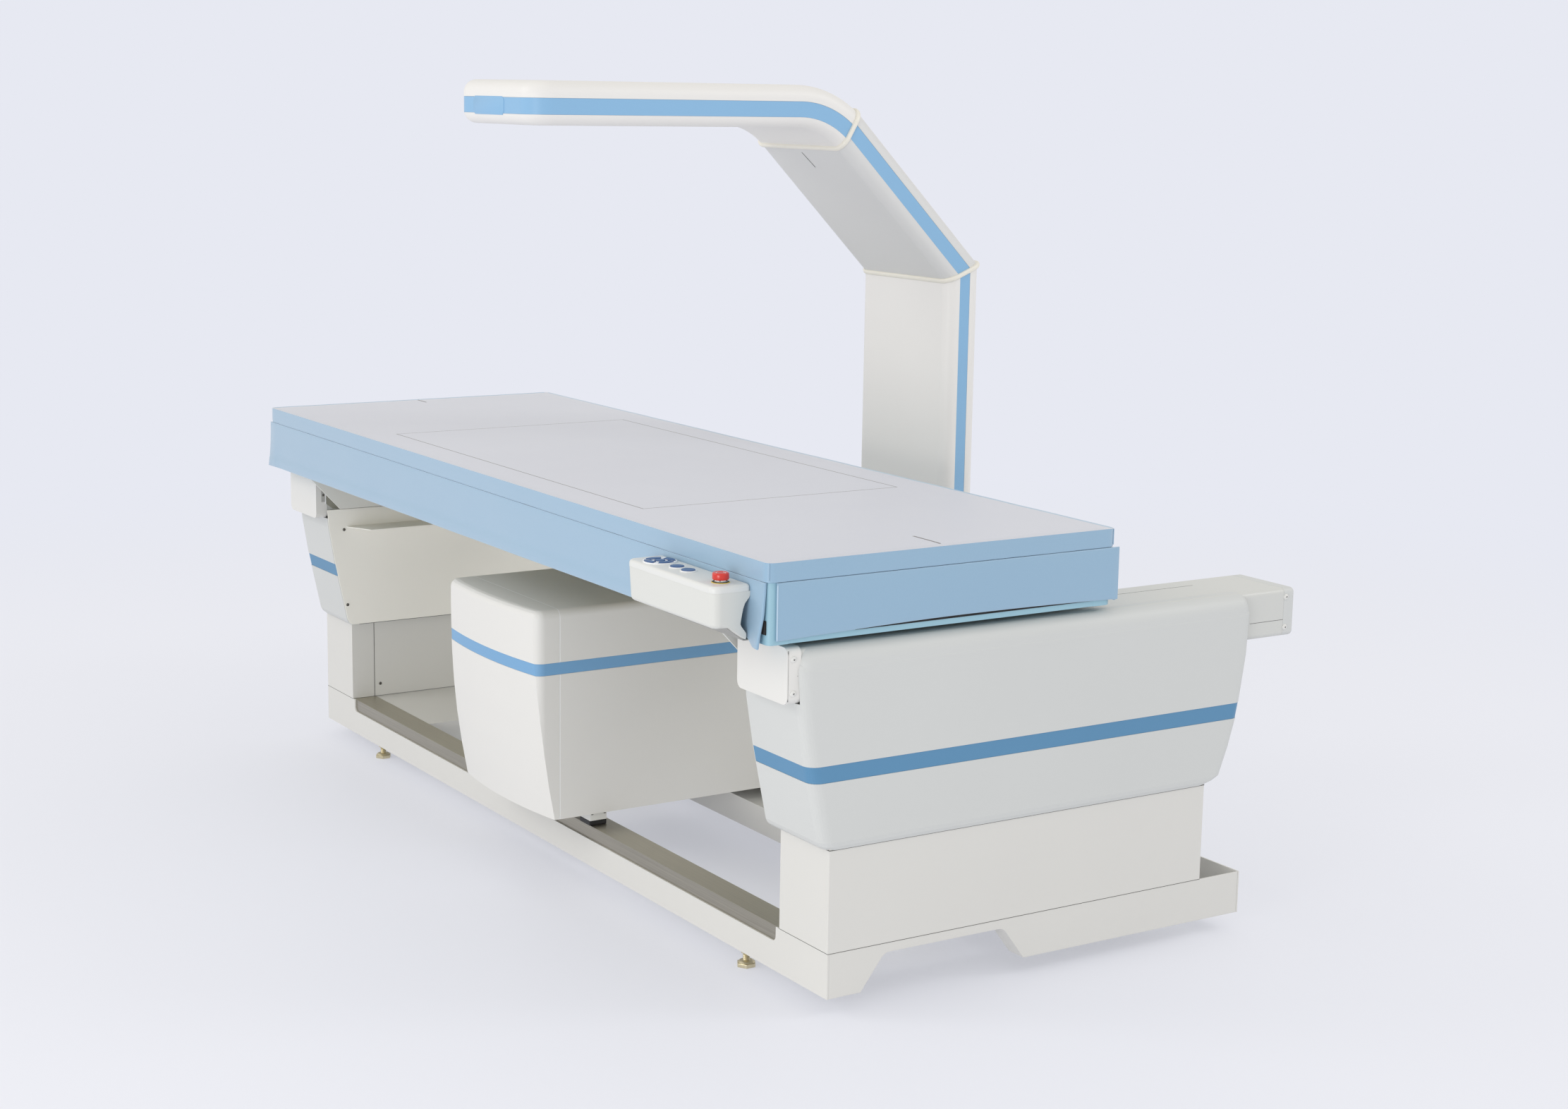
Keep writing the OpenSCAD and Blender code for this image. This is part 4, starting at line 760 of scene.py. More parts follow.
def buildEndSkirt(side):
    node = "right_skirt" if side > 0 else "left_skirt"
    low, high = corners(node)
    inner = low.x if side > 0 else high.x
    back = corners("rear_skirt")[1].y + endSkirt["past"]
    bottom, top = low.z + endSkirt["bottom"], high.z - endSkirt["top"]
    xs = sorted((inner, inner + side * skirt["thick"]))
    bm = boxMesh((xs[0], low.y, bottom), (xs[1], back, top))
    bevelEdges(bm, running(bm, 1, 2), skirt["round"], 3)
    before, after = endSkirt["margins"]
    cutAcross(bm, 1, [low.y + place for place in endSkirt["seam"]]
              + steps(low.y + before, back - after, skirt["cell"]))
    cutAcross(bm, 2, steps(low.z + skirt["rowLow"], high.z - skirt["rowHigh"], skirt["row"]))
    obj = piece(node + "_pad", bm, finishes["skirt_vinyl"], "table", [node])
    margin = lambda p: min(p.y - low.y, back - p.y, p.z - bottom, top - p.z)
    held = lambda p: abs(p.x - inner) < skirt["held"] or margin(p) < endSkirt["heldRim"]
    puffed(obj, held, skirt["puff"])
    tall = high.z - low.z
    for vertex in obj.data.vertices:
        share = (vertex.co.y - low.y) / (back - low.y)
        down = (high.z - vertex.co.z) / tall
        arch = endSkirt["slope"] * share + endSkirt["arch"] * math.sin(math.pi * min(max(share, 0), 1))
        wave = noise.noise(Vector((vertex.co.y * endSkirt["waveSize"], 0, side)))
        vertex.co.z += arch * down ** 4
        vertex.co.x += side * endSkirt["wave"] * wave * down ** 2
        vertex.co.x += side * endSkirt["lean"] * smoothStep(share, endSkirt["leanFrom"], 1.0)
    end, r, neck = tall - cord["shorter"], cord["radius"], cord["neck"]
    welt = turned([(0, 0), (neck, cord["shoulder"]), (r, cord["cap"]), (r, end - cord["cap"]),
                   (neck, end - cord["shoulder"]), (0, end)], 8)
    seat = Matrix.Translation((inner + side * (skirt["thick"] - cord["sink"]), low.y + cord["inset"],
                               low.z + cord["lift"]))
    piece(node + "_cord", moved(welt, seat), cordHighlightBlue, "table")


rearSkirt = {"end": 0.002, "bottom": 0.003, "top": 0.002, "deeper": 0.0035, "heldRim": 0.006,
             "lean": 0.003, "wave": 0.0012, "waveSize": 5}


def buildRearSkirt():
    low, high = corners("rear_skirt")
    end = rearSkirt["end"]
    bm = boxMesh((low.x + end, low.y, low.z + rearSkirt["bottom"]),
                 (high.x - end, high.y + rearSkirt["deeper"], high.z - rearSkirt["top"]))
    bevelEdges(bm, running(bm, 0, 2), skirt["round"], 3)
    cutAcross(bm, 0, steps(low.x, high.x, skirt["cell"] * 1.5))
    cutAcross(bm, 2, steps(low.z + skirt["rowLow"], high.z - skirt["rowHigh"], skirt["row"]))
    obj = piece("rear_skirt_pad", bm, finishes["skirt_vinyl"], "table", ["rear_skirt"])
    margin = lambda p: min(p.x - low.x, high.x - p.x, p.z - low.z, high.z - p.z)
    held = lambda p: abs(p.y - low.y) < skirt["held"] or margin(p) < rearSkirt["heldRim"]
    puffed(obj, held, skirt["puff"])
    for vertex in obj.data.vertices:
        down = (high.z - vertex.co.z) / (high.z - low.z)
        wave = noise.noise(Vector((vertex.co.x * rearSkirt["waveSize"], 0, 4)))
        vertex.co.y += rearSkirt["lean"] * down ** 2 + rearSkirt["wave"] * wave * down


buildFrontSkirt()
for side in (1, -1):
    buildEndSkirt(side)
buildRearSkirt()
print("skirts made")

# Table frame and board, wrapped in vinyl at the corners
wrap = {"radius": 0.011, "reach": 0.036, "stand": 0.0006, "low": 0.0006, "under": 0.0004, "edge": 0.0012,
        "near": 0.002}
frameLow, frameHigh = corners("table_frame")
boardHigh = corners("table_top")[1]


def outerCorner(edge):
    spot, near = middle(edge), wrap["near"]
    atEnd = abs(spot.x) > frameHigh.x - near
    return along(edge, 2) and atEnd and not frameLow.y + near < spot.y < frameHigh.y - near


softCopy("table_frame", 0.001, [(outerCorner, wrap["radius"], 5)])
board = softCopy("table_top", 0.001, [(outerCorner, wrap["radius"], 5)])
twoTone(board, finishes["skirt_vinyl"], lambda face: abs(face.normal.z) < 0.9)
wraps = []
for sx in (-1, 1):
    for y, sy in ((frameLow.y, -1), (frameHigh.y, 1)):
        x = sx * frameHigh.x
        xs = sorted((x + sx * wrap["stand"], x - sx * wrap["reach"]))
        ys = sorted((y + sy * wrap["stand"], y - sy * wrap["reach"]))
        bottom, top = frameLow.z - wrap["low"], boardHigh.z - wrap["under"]
        corner = boxMesh((xs[0], ys[0], bottom), (xs[1], ys[1], top))
        atCorner = lambda e: max(abs(middle(e).x - x), abs(middle(e).y - y)) < wrap["near"]
        bevelEdges(corner, [e for e in running(corner, 2) if atCorner(e)], wrap["radius"], 6)
        bevelEdges(corner, sharpEdges(corner), wrap["edge"], 2)
        wraps.append(corner)
weigh(piece("corner_wraps", joined(wraps), finishes["frame_vinyl"], "table"))

tape = {"patch": ((0.9900, 0.6215), (1.0015, 0.6430)), "strip": (-0.345, 0.1545, 0.6152, 0.6240),
        "thick": 0.0012, "sink": 0.0004, "edge": 0.0004}
(x0, z0), (x1, z1) = tape["patch"]
face = frameLow.y - wrap["stand"]
patch = boxMesh((x0, face - tape["thick"], z0), (x1, face + tape["sink"], z1), tape["edge"])
start, end, z0, z1 = tape["strip"]
face = frameHigh.x
strip = boxMesh((face - tape["sink"], start, z0), (face + tape["thick"], end, z1), tape["edge"])
piece("grip_tapes", joined([patch, strip]), fuzzBlack, "table")
print("table wrapped")

# Control panel
panel = {"corner": 0.015, "longer": 0.007, "grow": 0.0002, "bottomRound": 0.0075, "seam": 0.00035,
         "draft": 0.0025, "draftFrom": 0.03, "lidRound": 0.0052, "endRound": 0.0012, "floorBack": 0.034,
         "lidBack": 0.4, "padLift": 0.0003, "keyRound": 0.0006,
         "back": ((0.6765, 0.0001), (0.6725, 0.0017), (0.6685, 0.0052), (0.6640, 0.0087), (0.6570, 0.0112),
                  (0.6480, 0.0130), (0.6380, 0.0147), (0.6325, 0.0152), (0.6285, 0.0132), (0.6235, 0.0092),
                  (0.6180, 0.0050), (0.6110, 0.0046), (0.6082, 0.0062), (0.6100, 0.0098), (0.6205, 0.0250))}


def buildPanelShell():
    low, high = corners("panel_shell")
    low.x -= panel["longer"]
    front, back, bottom, top = low.y, high.y, low.z, high.z
    outline = [(front, top), (front, bottom), (back - panel["floorBack"], bottom)]
    outline += [(back - inset, z) for z, inset in reversed(panel["back"])] + [(back, top)]
    bm = bmesh.new()
    side = bm.faces.new([bm.verts.new((low.x, y, z)) for y, z in outline])
    pushed(bm, bmesh.ops.extrude_face_region(bm, geom=[side]), (high.x - low.x, 0, 0))
    bmesh.ops.recalc_face_normals(bm, faces=bm.faces)
    bevelEdges(bm, [e for e in running(bm, 2) if middle(e).y < front + 1e-4], panel["corner"], 7)
    under = [e for e in sharpEdges(bm, 50)
             if abs(middle(e).z - bottom) < 1e-4 and middle(e).y < back - panel["floorBack"] - 0.002]
    bevelEdges(bm, under, panel["bottomRound"], 5)
    rim = [e for e in sharpEdges(bm, 50) if abs(middle(e).z - top) < 1e-4]
    bevelEdges(bm, rim, panel["seam"], 2)
    ends = [e for e in sharpEdges(bm, 60) if not along(e, 0) and abs(middle(e).z - top) > 0.002]
    bevelEdges(bm, ends, panel["endRound"], 2)
    middleX = (low.x + high.x) / 2
    for vert in bm.verts:
        lower = min((top - vert.co.z) / (top - bottom), 1)
        vert.co.x += (middleX - vert.co.x) / (high.x - middleX) * panel["draft"] * lower
        vert.co.y += panel["draft"] * lower * smoothStep(back - vert.co.y, panel["draftFrom"], back - front)
    weigh(piece("control_panel_shell", bm, finishes["shell_plastic"], "table",
                ["panel_shell"]))


def buildLidSkin():
    low, high = corners("panel_lid")
    face = corners("stop_base")[0].z
    grow = panel["grow"]
    low = Vector((low.x - panel["longer"] - grow, low.y - grow, low.z))
    high = Vector((high.x + grow, high.y + grow, face + 0.0001))
    bm = boxMesh(low, high)
    corner, back = panel["corner"], panel["corner"] * panel["lidBack"]
    bevelEdges(bm, [e for e in running(bm, 2) if middle(e).y < low.y + 1e-4], corner, 7)
    bevelEdges(bm, [e for e in running(bm, 2) if middle(e).y > high.y - 1e-4], back, 4)
    bevelEdges(bm, [e for e in sharpEdges(bm, 50) if middle(e).z > face], panel["lidRound"], 5)
    bevelEdges(bm, [e for e in sharpEdges(bm, 50) if middle(e).z < low.z + 1e-4], panel["seam"], 2)
    weigh(piece("panel_lid_skin", bm, finishes["lid_plastic"], "table"))


buildPanelShell()
buildLidSkin()
lid = softCopy("panel_lid", 0.0)
padLow = corners("stop_base")[0].z + panel["padLift"]
twoTone(lid, rimWhite, lambda face: face.center.z > padLow)
for nodeName in [name for name in frame["nodes"] if name.startswith("key_")]:
    keyTop = corners(nodeName)[1].z
    softCopy(nodeName, 0.0, [(lambda e: middle(e).z > keyTop - 1e-4, panel["keyRound"], 3)])

stop = {"sides": 56, "postCount": 6, "postWidth": 0.0016, "travel": 0.0025, "clear": 0.0002,
        "neckCut": 0.0035, "collar": 0.80, "post": (0.72, 0.86), "postTurn": 0.4, "proud": 0.0002,
        "hole": 0.88, "yellow": 0.0007, "blackStart": 0.0005, "blackInset": 0.0014}
arrow = {"inner": 0.0068, "outer": 0.0076, "sweep": 105, "steps": 14, "tip": 0.0017,
         "tipAt": (0.0072, 0.0008, 0), "thick": 0.0003, "sink": 0.00125}


def buildStop():
    low, high = corners("stop_head")
    centre = (low + high) / 2
    radius, tall = (high.x - low.x) / 2, high.z - low.z
    lift = lambda z: Matrix.Translation((centre.x, centre.y, z))
    head = turned([(0, 0.0004), (radius - 0.0035, 0.0004), (radius - 0.0012, 0.0), (radius - 0.0004, 0.0006),
                   (radius, 0.0018), (radius, tall * 0.52), (radius - 0.0002, tall * 0.82),
                   (radius - 0.0006, tall - 0.0012), (radius - 0.0014, tall - 0.0003),
                   (radius - 0.0024, tall), (radius - 0.0034, tall - 0.0002),
                   (radius - 0.0048, tall - 0.0009), (radius - 0.0075, tall - 0.0013),
                   (0, tall - 0.0016)], stop["sides"])
    piece("stop_head_red", moved(head, lift(low.z)), finishes["stop_red"], "stop_head",
          ["stop_head"])
    marks = []
    for turn in (0, 180):
        bm = bmesh.new()
        foot = [bm.verts.new((r, 0, 0)) for r in (arrow["inner"], arrow["outer"])]
        sweep = math.radians(arrow["sweep"])
        bmesh.ops.spin(bm, geom=foot + [bm.edges.new(foot)], cent=(0, 0, 0), axis=(0, 0, 1),
                       angle=sweep, steps=arrow["steps"])
        tip = bmesh.ops.create_circle(bm, cap_ends=True, radius=arrow["tip"], segments=3)
        bmesh.ops.transform(bm, verts=tip["verts"], matrix=Matrix.Rotation(sweep, 4, "Z")
                            @ Matrix.Translation(arrow["tipAt"]))
        pushed(bm, bmesh.ops.extrude_face_region(bm, geom=bm.faces[:]), (0, 0, arrow["thick"]))
        bmesh.ops.recalc_face_normals(bm, faces=bm.faces)
        marks.append(moved(bm, lift(high.z - arrow["sink"]) @ Matrix.Rotation(math.radians(turn), 4, "Z")))
    piece("stop_turn_arrows", joined(marks), rimWhite, "stop_head")

    stemLow, stemHigh = corners("stop_stem")
    neck = (stemHigh.x - stemLow.x) / 2
    ringLow, ringHigh = corners("stop_base")
    foot, top = ringLow.z + stop["travel"] + stop["clear"], stemHigh.z + stop["proud"]
    bottom, wide = stemLow.z + stop["neckCut"], radius * stop["collar"]
    collar = turned([(0, bottom), (neck, bottom), (neck, foot), (wide, foot), (wide, top), (0, top)], 48)
    parts = [tinted(moved(collar, lift(0)), 1)]
    inside, outside = stop["post"]
    for k in range(stop["postCount"]):
        post = boxMesh((radius * inside, -stop["postWidth"] / 2, foot + 0.0001),
                       (radius * outside, stop["postWidth"] / 2, top + 0.0004), 0.0002)
        turn = math.tau * (k + stop["postTurn"]) / stop["postCount"]
        parts.append(moved(post, lift(0) @ Matrix.Rotation(turn, 4, "Z")))
    piece("stop_stem_collar", joined(parts), [finishes["stop_black"], rimWhite], "stop_stem",
          ["stop_stem"])

    outer, hole = (ringHigh.x - ringLow.x) / 2, radius * stop["hole"]
    bottom, top, step = ringLow.z, ringLow.z + stop["yellow"], ringLow.z + stop["blackStart"]
    yellow = turned([(hole, bottom), (outer, bottom), (outer, top - 0.0003), (outer - 0.0003, top),
                     (hole, top), (hole, bottom)], 64)
    rim, top = outer - stop["blackInset"], ringHigh.z
    black = turned([(hole, step), (rim, step), (rim, top - 0.0005), (rim - 0.0006, top), (hole, top),
                    (hole, step)], 64)
    piece("stop_rings", joined([tinted(moved(yellow, lift(0)), 1), moved(black, lift(0))]),
          [finishes["stop_black"], stopYellow], "table", ["stop_base"])


buildStop()
print("control panel made")


# Pan head with a cross slot, its axis and turn chosen; the slot is a dark inlay that paints the shade inside
# the recess
def panScrew(place, axis, radius=0.0042, tall=0.0024, turn=0.5):
    dome = turned([(0, tall), (radius * 0.35, tall * 0.97), (radius * 0.68, tall * 0.8),
                   (radius * 0.9, tall * 0.48), (radius, tall * 0.12), (radius, 0), (0, 0)], 20)
    slots = []
    for a, b in ((0.34, 0.075), (0.075, 0.34)):
        slot = boxMesh((-radius * a, -radius * b, tall * 0.62), (radius * a, radius * b, tall * 1.015))
        slots.append(tinted(slot, 1))
    seat = Matrix.Translation(place) @ facing(axis) @ Matrix.Rotation(turn, 4, "Z")
    return moved(joined([dome] + slots), seat)


def seamLine(low, high):
    return boxMesh(low, high, 0.0002, 1)


screws = {"capY": -0.4543, "capZ": (0.580, 0.527), "rearY": 0.5512, "radius": 0.0052,
          "small": 0.0034, "smallTall": 0.0018, "panelTurn": 0.2, "pedestalTurn": 0.9,
          "panel": ((-0.4073, 0.4825), (-0.4018, 0.318)),
          "panelShift": 0.02, "panelSink": 0.002, "pedestalY": (-0.3208, 0.30), "pedestalZ": 0.131}
capScrews, railScrews, panelScrews = [], [], []
for side in (1, -1):
    x = side * corners("right_front_cap")[1].x
    capScrews += [panScrew((x, screws["capY"], z), (side, 0, 0), screws["radius"]) for z in screws["capZ"]]
    x = side * corners("right_cross_rail")[1].x
    railScrews += [panScrew((x, screws["rearY"], z), (side, 0, 0), screws["radius"]) for z in screws["capZ"]]
    small, tall, turn = screws["small"], screws["smallTall"], screws["panelTurn"]
    x = side * (corners("right_cover")[0].x - screws["panelSink"])
    for y, z in screws["panel"]:
        for spot in (y, screws["panelShift"] - y):
            panelScrews.append(panScrew((x, spot, z), (-side, 0, 0), small, tall, turn))
    x, z, turn = side * corners("right_pedestal")[0].x, screws["pedestalZ"], screws["pedestalTurn"]
    for spot in screws["pedestalY"]:
        panelScrews.append(panScrew((x, spot, z), (-side, 0, 0), small, tall, turn))
piece("cap_screws", joined(capScrews), [screwZinc, recessShadeDark], "base")
piece("rear_cap_screws", joined(railScrews), [screwZinc, recessShadeDark], "base")
piece("inner_panel_screws", joined(panelScrews), [screwDark, recessShadeDark], "base")

# Thin dark lines laid in the surfaces where two sheets or covers meet
railSeam = {"deep": 0.0008, "proud": 0.00012, "slot": (0.9069, 0.9081), "slotInset": 0.01, "slotEnd": 0.4233,
            "rear": (0.4700, 0.5400, 0.5409), "front": (-0.4475, -0.4407, 0.5535, 0.5541),
            "cap": (0.0016, 0.0023, 0.006, 0.004), "capProud": 0.0001}
seams = []
deep, proud = railSeam["deep"], railSeam["proud"]
railLow, railHigh = corners("right_cross_rail")
capLow, capHigh = corners("right_front_cap")
for side in (1, -1):
    x0, x1 = spread(side, *railSeam["slot"])
    seams.append(seamLine((x0, railLow.y + railSeam["slotInset"], railHigh.z - deep),
                          (x1, railSeam["slotEnd"], railHigh.z + proud)))
    x0, x1 = spread(side, railHigh.x - deep, railHigh.x + proud)
    start, bottom, top = railSeam["rear"]
    seams.append(seamLine((x0, start, bottom), (x1, railHigh.y, top)))
    x0, x1 = spread(side, capHigh.x - deep, capHigh.x + proud)
    start, end, bottom, top = railSeam["front"]
    seams.append(seamLine((x0, start, bottom), (x1, end, top)))
start, end, bottom, top = railSeam["cap"]
for side in (1, -1):
    x0, x1 = spread(side, capHigh.x - deep, capHigh.x + railSeam["capProud"])
    seams.append(seamLine((x0, capLow.y + start, capLow.z + bottom), (x1, capLow.y + end, capHigh.z - top)))
piece("rail_seams", joined(seams), gapDark, "base")

# Lines round each pedestal: the joint on the base and the seam on the inner face are real; the line under the
# cover is partly its gap and partly painted shadow, and the line under the inner panel's bottom edge is
# painted shadow
pedestalSeamAndShadow = {"proud": 0.0003, "inside": 0.0002, "foot": (0.1036, 0.1045),
                "under": 0.0014, "coverShadowProud": 0.0006,
                "panel": (-0.3345, -0.3336, 0.1045, 0.3000), "panelDeep": 0.0008,
                "sheet": (0.8500, 0.8519), "sheetInset": 0.01, "sheetZ": (0.0002, 0.0012)}
lines = []
low, high = corners("right_pedestal")
coverLow, proud = corners("right_cover")[0].z, pedestalSeamAndShadow["proud"]
for side in (1, -1):
    x0, x1 = spread(side, low.x - pedestalSeamAndShadow["inside"], high.x + proud)
    bottom, top = pedestalSeamAndShadow["foot"]
    lines.append(seamLine((x0, low.y - proud, bottom), (x1, high.y + proud, top)))
    # Line under the cover: partly its real gap, partly painted shadow
    out = pedestalSeamAndShadow["coverShadowProud"]
    lines.append(seamLine((x0, low.y - out, coverLow - pedestalSeamAndShadow["under"]), (x1, high.y + out, coverLow)))
    x0, x1 = spread(side, low.x + pedestalSeamAndShadow["panelDeep"], low.x - proud)
    start, end, bottom, top = pedestalSeamAndShadow["panel"]
    lines.append(seamLine((x0, start, bottom), (x1, end, top)))
    # Line under the inner panel's bottom edge: painted shadow
    x0, x1 = spread(side, *pedestalSeamAndShadow["sheet"])
    (bottom, top), inset = pedestalSeamAndShadow["sheetZ"], pedestalSeamAndShadow["sheetInset"]
    lines.append(seamLine((x0, low.y + inset, coverLow + bottom), (x1, high.y - inset, coverLow + top)))
piece("pedestal_seams_and_shadows", joined(lines), seamAndShadowGrey, "base")

# The opening beside each front cap: recessed plate, bar, wedge and a screw; the dull olive wedge is painted
# shade in the hollow behind the plate
window = {"plate": (-0.4535, -0.4452, 0.5440, 0.5735), "bar": (-0.4446, -0.4430, 0.5394, 0.5675),
          "wedge": ((-0.4426, 0.5655), (-0.4426, 0.5394), (-0.4275, 0.5282), (-0.4112, 0.5276)),
          "deep": 0.0026, "plateOut": 0.0003, "barOut": 0.0009, "wedgeOut": 0.0004,
          "screw": (-0.4494, 0.5585), "screwOut": 0.0002, "screwSize": (0.0026, 0.0014, 0.4)}


def buildWindow(side):
    x = side * corners("right_front_cap")[0].x
    out = lambda depth: x - side * depth
    sheets = []
    for index, part in enumerate(("plate", "bar")):
        y0, y1, z0, z1 = window[part]
        x0, x1 = sorted((out(-window["deep"]), out(window[part + "Out"])))
        sheets.append(tinted(boxMesh((x0, y0, z0), (x1, y1, z1), 0.0001, 1), index))
    # A flat wedge whose olive paints the shade in the hollow beside the plate
    wedge = bmesh.new()
    face = wedge.faces.new([wedge.verts.new((out(-window["deep"]), y, z)) for y, z in window["wedge"]])
    grown = bmesh.ops.extrude_face_region(wedge, geom=[face])
    pushed(wedge, grown, (-side * (window["deep"] + window["wedgeOut"]), 0, 0))
    bmesh.ops.recalc_face_normals(wedge, faces=wedge.faces)
    sheets.append(tinted(wedge, 2))
    screw = panScrew((out(window["screwOut"]), *window["screw"]), (-side, 0, 0), *window["screwSize"])
    sheets.append(tinted(screw, 3))
    piece("right_cap_window" if side > 0 else "left_cap_window", joined(sheets),
          [windowGrey, rimWhite, hollowShadeOlive, screwDark], "base")


for side in (1, -1):
    buildWindow(side)

carriageFix = {"block": 0.035, "shifts": (0.0047, 0.0303), "sink": 0.003, "z": 0.1268,
               "size": (0.0028, 0.0034, 0.3)}
carriageScrews = []
footLow, footHigh = corners("slide_blocks")
for x, side in ((corners("carriage")[1].x, 1), (corners("carriage")[0].x, -1)):
    for start in (footLow.y, footHigh.y - carriageFix["block"]):
        for shift in carriageFix["shifts"]:
            place = (x - side * carriageFix["sink"], start + shift, carriageFix["z"])
            carriageScrews.append(panScrew(place, (side, 0, 0), *carriageFix["size"]))
piece("carriage_screws", joined(carriageScrews), [screwDark, recessShadeDark], "carm")

foot = {"x": 0.745, "inset": 0.01475, "flats": 0.034, "pad": 0.007, "padChamfer": 0.0011, "stud": 0.006,
        "start": 0.011, "pitch": 0.00175, "root": 0.0007,
        "nut": 0.020, "nutZ": (0.0232, 0.0298), "nutChamfer": 0.0009,
        "flange": ((0, 0.0068), (0.0140, 0.0068), (0.0145, 0.0074), (0.0118, 0.0098), (0.0090, 0.0110),
                   (0, 0.0110))}


def hexBlock(across, low, high, chamfer):
    bm = bmesh.new()
    bmesh.ops.create_cone(bm, cap_ends=True, segments=6, radius1=across / 2, radius2=across / 2,
                          depth=high - low)
    bmesh.ops.translate(bm, vec=(0, 0, (low + high) / 2), verts=bm.verts)
    bevelEdges(bm, [e for e in bm.edges if not along(e, 2)], chamfer, 2)
    bevelEdges(bm, running(bm, 2), chamfer * 0.5, 2)
    return bm


def buildFeet():
    low, high = corners("levelling_feet")
    pitch, radius = foot["pitch"], foot["stud"]
    thread = []
    z = foot["start"]
    while z < high.z - pitch:
        thread += [(radius, z), (radius - foot["root"], z + pitch / 2)]
        z += pitch
    profile = [(0, foot["start"] - 0.0005)] + thread + [(radius - 0.001, high.z), (0, high.z)]
    parts = []
    for x in (-foot["x"], foot["x"]):
        for y in (low.y + foot["inset"], high.y - foot["inset"]):
            made = (hexBlock(foot["flats"], 0.0, foot["pad"], foot["padChamfer"]), turned(foot["flange"], 40),
                    turned(profile, 28), hexBlock(foot["nut"], *foot["nutZ"], foot["nutChamfer"]))
            parts += [moved(part, Matrix.Translation((x, y, 0))) for part in made]
    weigh(piece("threaded_feet", joined(parts), finishes["foot_zinc"], "base",
                ["levelling_feet"]))


buildFeet()
print("screws, seams and feet made")

# Plate at the arm's tip
tip = {"low": 1.3710, "high": 1.4030, "left": -0.024, "right": 0.097, "chamfer": 0.006, "proud": 0.0006,
       "deep": 0.003, "edge": 0.0005}


def buildTipBand():
    front = corners("arm_cover")[0].y
    bm = boxMesh((tip["left"], front - tip["proud"], tip["low"]),
                 (tip["right"], front + tip["deep"], tip["high"]))
    bevelEdges(bm, running(bm, 1), tip["chamfer"], 1)
    bevelEdges(bm, sharpEdges(bm), tip["edge"], 2)
    piece("tip_plate", bm, armBlue, "carm")


buildTipBand()
print("arm details made")

# Studio: the floor glows like the sky far out, and partly so near the machine, which keeps its shadows light
studio = {"sky": srgb(231, 233, 242), "fill": (1.0, 0.99, 0.975, 1), "strength": 0.845,
          "floor": srgb(240, 241, 247), "rough": 0.55, "radius": 60, "near": 1.6, "far": 4.6, "lift": 0.45}


def buildFloor():
    bm = bmesh.new()
    bmesh.ops.create_circle(bm, cap_ends=True, radius=studio["radius"], segments=64)
    mesh = bpy.data.meshes.new("floor")
    bm.to_mesh(mesh)
    bm.free()
    floor = bpy.data.objects.new("floor", mesh)
    bpy.context.collection.objects.link(floor)
    material = bpy.data.materials.new("studioFloor")
    material.use_nodes = True
    tree = material.node_tree
    shader = tree.nodes["Principled BSDF"]
    shader.inputs["Base Color"].default_value = studio["floor"]
    shader.inputs["Roughness"].default_value = studio["rough"]
    glow = tree.nodes.new("ShaderNodeEmission")
    glow.inputs["Color"].default_value = studio["sky"]
    reach = tree.nodes.new("ShaderNodeVectorMath")
    reach.operation = "LENGTH"
    tree.links.new(tree.nodes.new("ShaderNodeTexCoord").outputs["Object"], reach.inputs[0])
    ramp = tree.nodes.new("ShaderNodeMapRange")
    ramp.interpolation_type = "SMOOTHSTEP"
    ramp.inputs["From Min"].default_value = studio["near"]
    ramp.inputs["From Max"].default_value = studio["far"]
    ramp.inputs["To Min"].default_value = studio["lift"]
    tree.links.new(reach.outputs["Value"], ramp.inputs["Value"])
    mixed = tree.nodes.new("ShaderNodeMixShader")
    tree.links.new(ramp.outputs["Result"], mixed.inputs["Fac"])
    tree.links.new(shader.outputs["BSDF"], mixed.inputs[1])
    tree.links.new(glow.outputs["Emission"], mixed.inputs[2])
    tree.links.new(mixed.outputs["Shader"], tree.nodes["Material Output"].inputs["Surface"])
    mesh.materials.append(material)


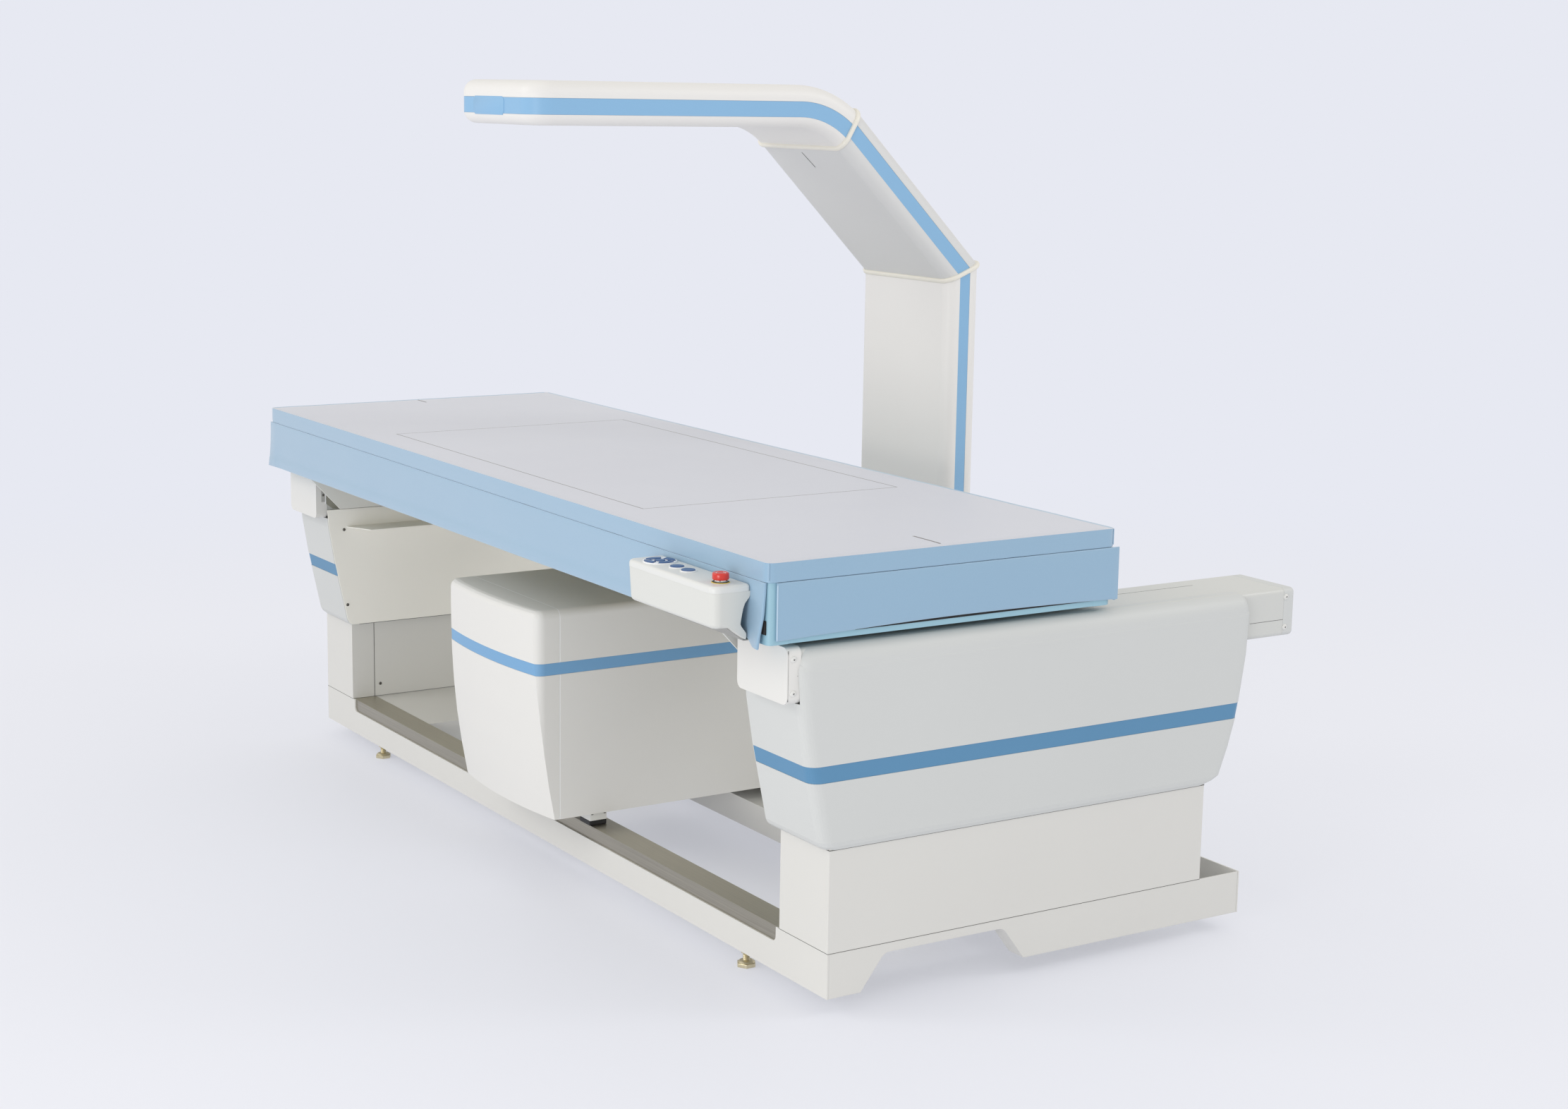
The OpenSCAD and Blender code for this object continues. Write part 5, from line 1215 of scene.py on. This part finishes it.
def buildWorld():
    world = bpy.data.worlds.new("world")
    bpy.context.scene.world = world
    world.use_nodes = True
    tree = world.node_tree
    light = tree.nodes["Background"]
    light.inputs["Color"].default_value = studio["fill"]
    light.inputs["Strength"].default_value = studio["strength"]
    seen = tree.nodes.new("ShaderNodeBackground")
    seen.inputs["Color"].default_value = studio["sky"]
    path = tree.nodes.new("ShaderNodeLightPath")
    mixed = tree.nodes.new("ShaderNodeMixShader")
    tree.links.new(path.outputs["Is Camera Ray"], mixed.inputs["Fac"])
    tree.links.new(light.outputs["Background"], mixed.inputs[1])
    tree.links.new(seen.outputs["Background"], mixed.inputs[2])
    tree.links.new(mixed.outputs["Shader"], tree.nodes["World Output"].inputs["Surface"])


lamps = {"key": {"place": (-2.2, -5.2, 3.8), "target": (0, 0, 0.6), "size": 2.4, "power": 58,
                 "colour": (1.0, 0.985, 0.96)},
         "low": {"place": (2.6, -3.8, 0.62), "target": (0, 0, 0.4), "size": 1.6, "power": 42,
                 "colour": (1.0, 0.99, 0.97)},
         "rear": {"place": (3.4, 3.4, 3.6), "target": (0, 0.3, 1.1), "size": 1.8, "power": 38,
                  "colour": (1, 1, 1)}}


def areaLight(name, settings):
    light = bpy.data.lights.new(name, "AREA")
    light.shape = "DISK"
    light.size = settings["size"]
    light.energy = settings["power"]
    light.color = settings["colour"]
    lamp = bpy.data.objects.new(name, light)
    bpy.context.collection.objects.link(lamp)
    lamp.location = settings["place"]
    aim = Vector(settings["target"]) - Vector(settings["place"])
    lamp.rotation_euler = aim.to_track_quat("-Z", "Y").to_euler()


buildFloor()
buildWorld()
for name, settings in lamps.items():
    areaLight(name, settings)

view = {"place": (4.0663, -2.4289, 1.4198), "yaw": 57.445, "pitch": -10.563, "roll": 0.948, "lens": 57.05}
yaw, pitch, roll = (math.radians(view[k]) for k in ("yaw", "pitch", "roll"))
camera = bpy.data.objects.new("camera", bpy.data.cameras.new("camera"))
bpy.context.collection.objects.link(camera)
camera.data.lens = view["lens"]
camera.location = view["place"]
camera.rotation_mode = "QUATERNION"
camera.rotation_quaternion = (Matrix.Rotation(yaw, 4, "Z") @ Matrix.Rotation(math.pi / 2 + pitch, 4, "X")
                              @ Matrix.Rotation(roll, 4, "Z")).to_quaternion()
bpy.context.scene.camera = camera
bpy.context.scene.view_settings.view_transform = "Standard"
print("studio set")
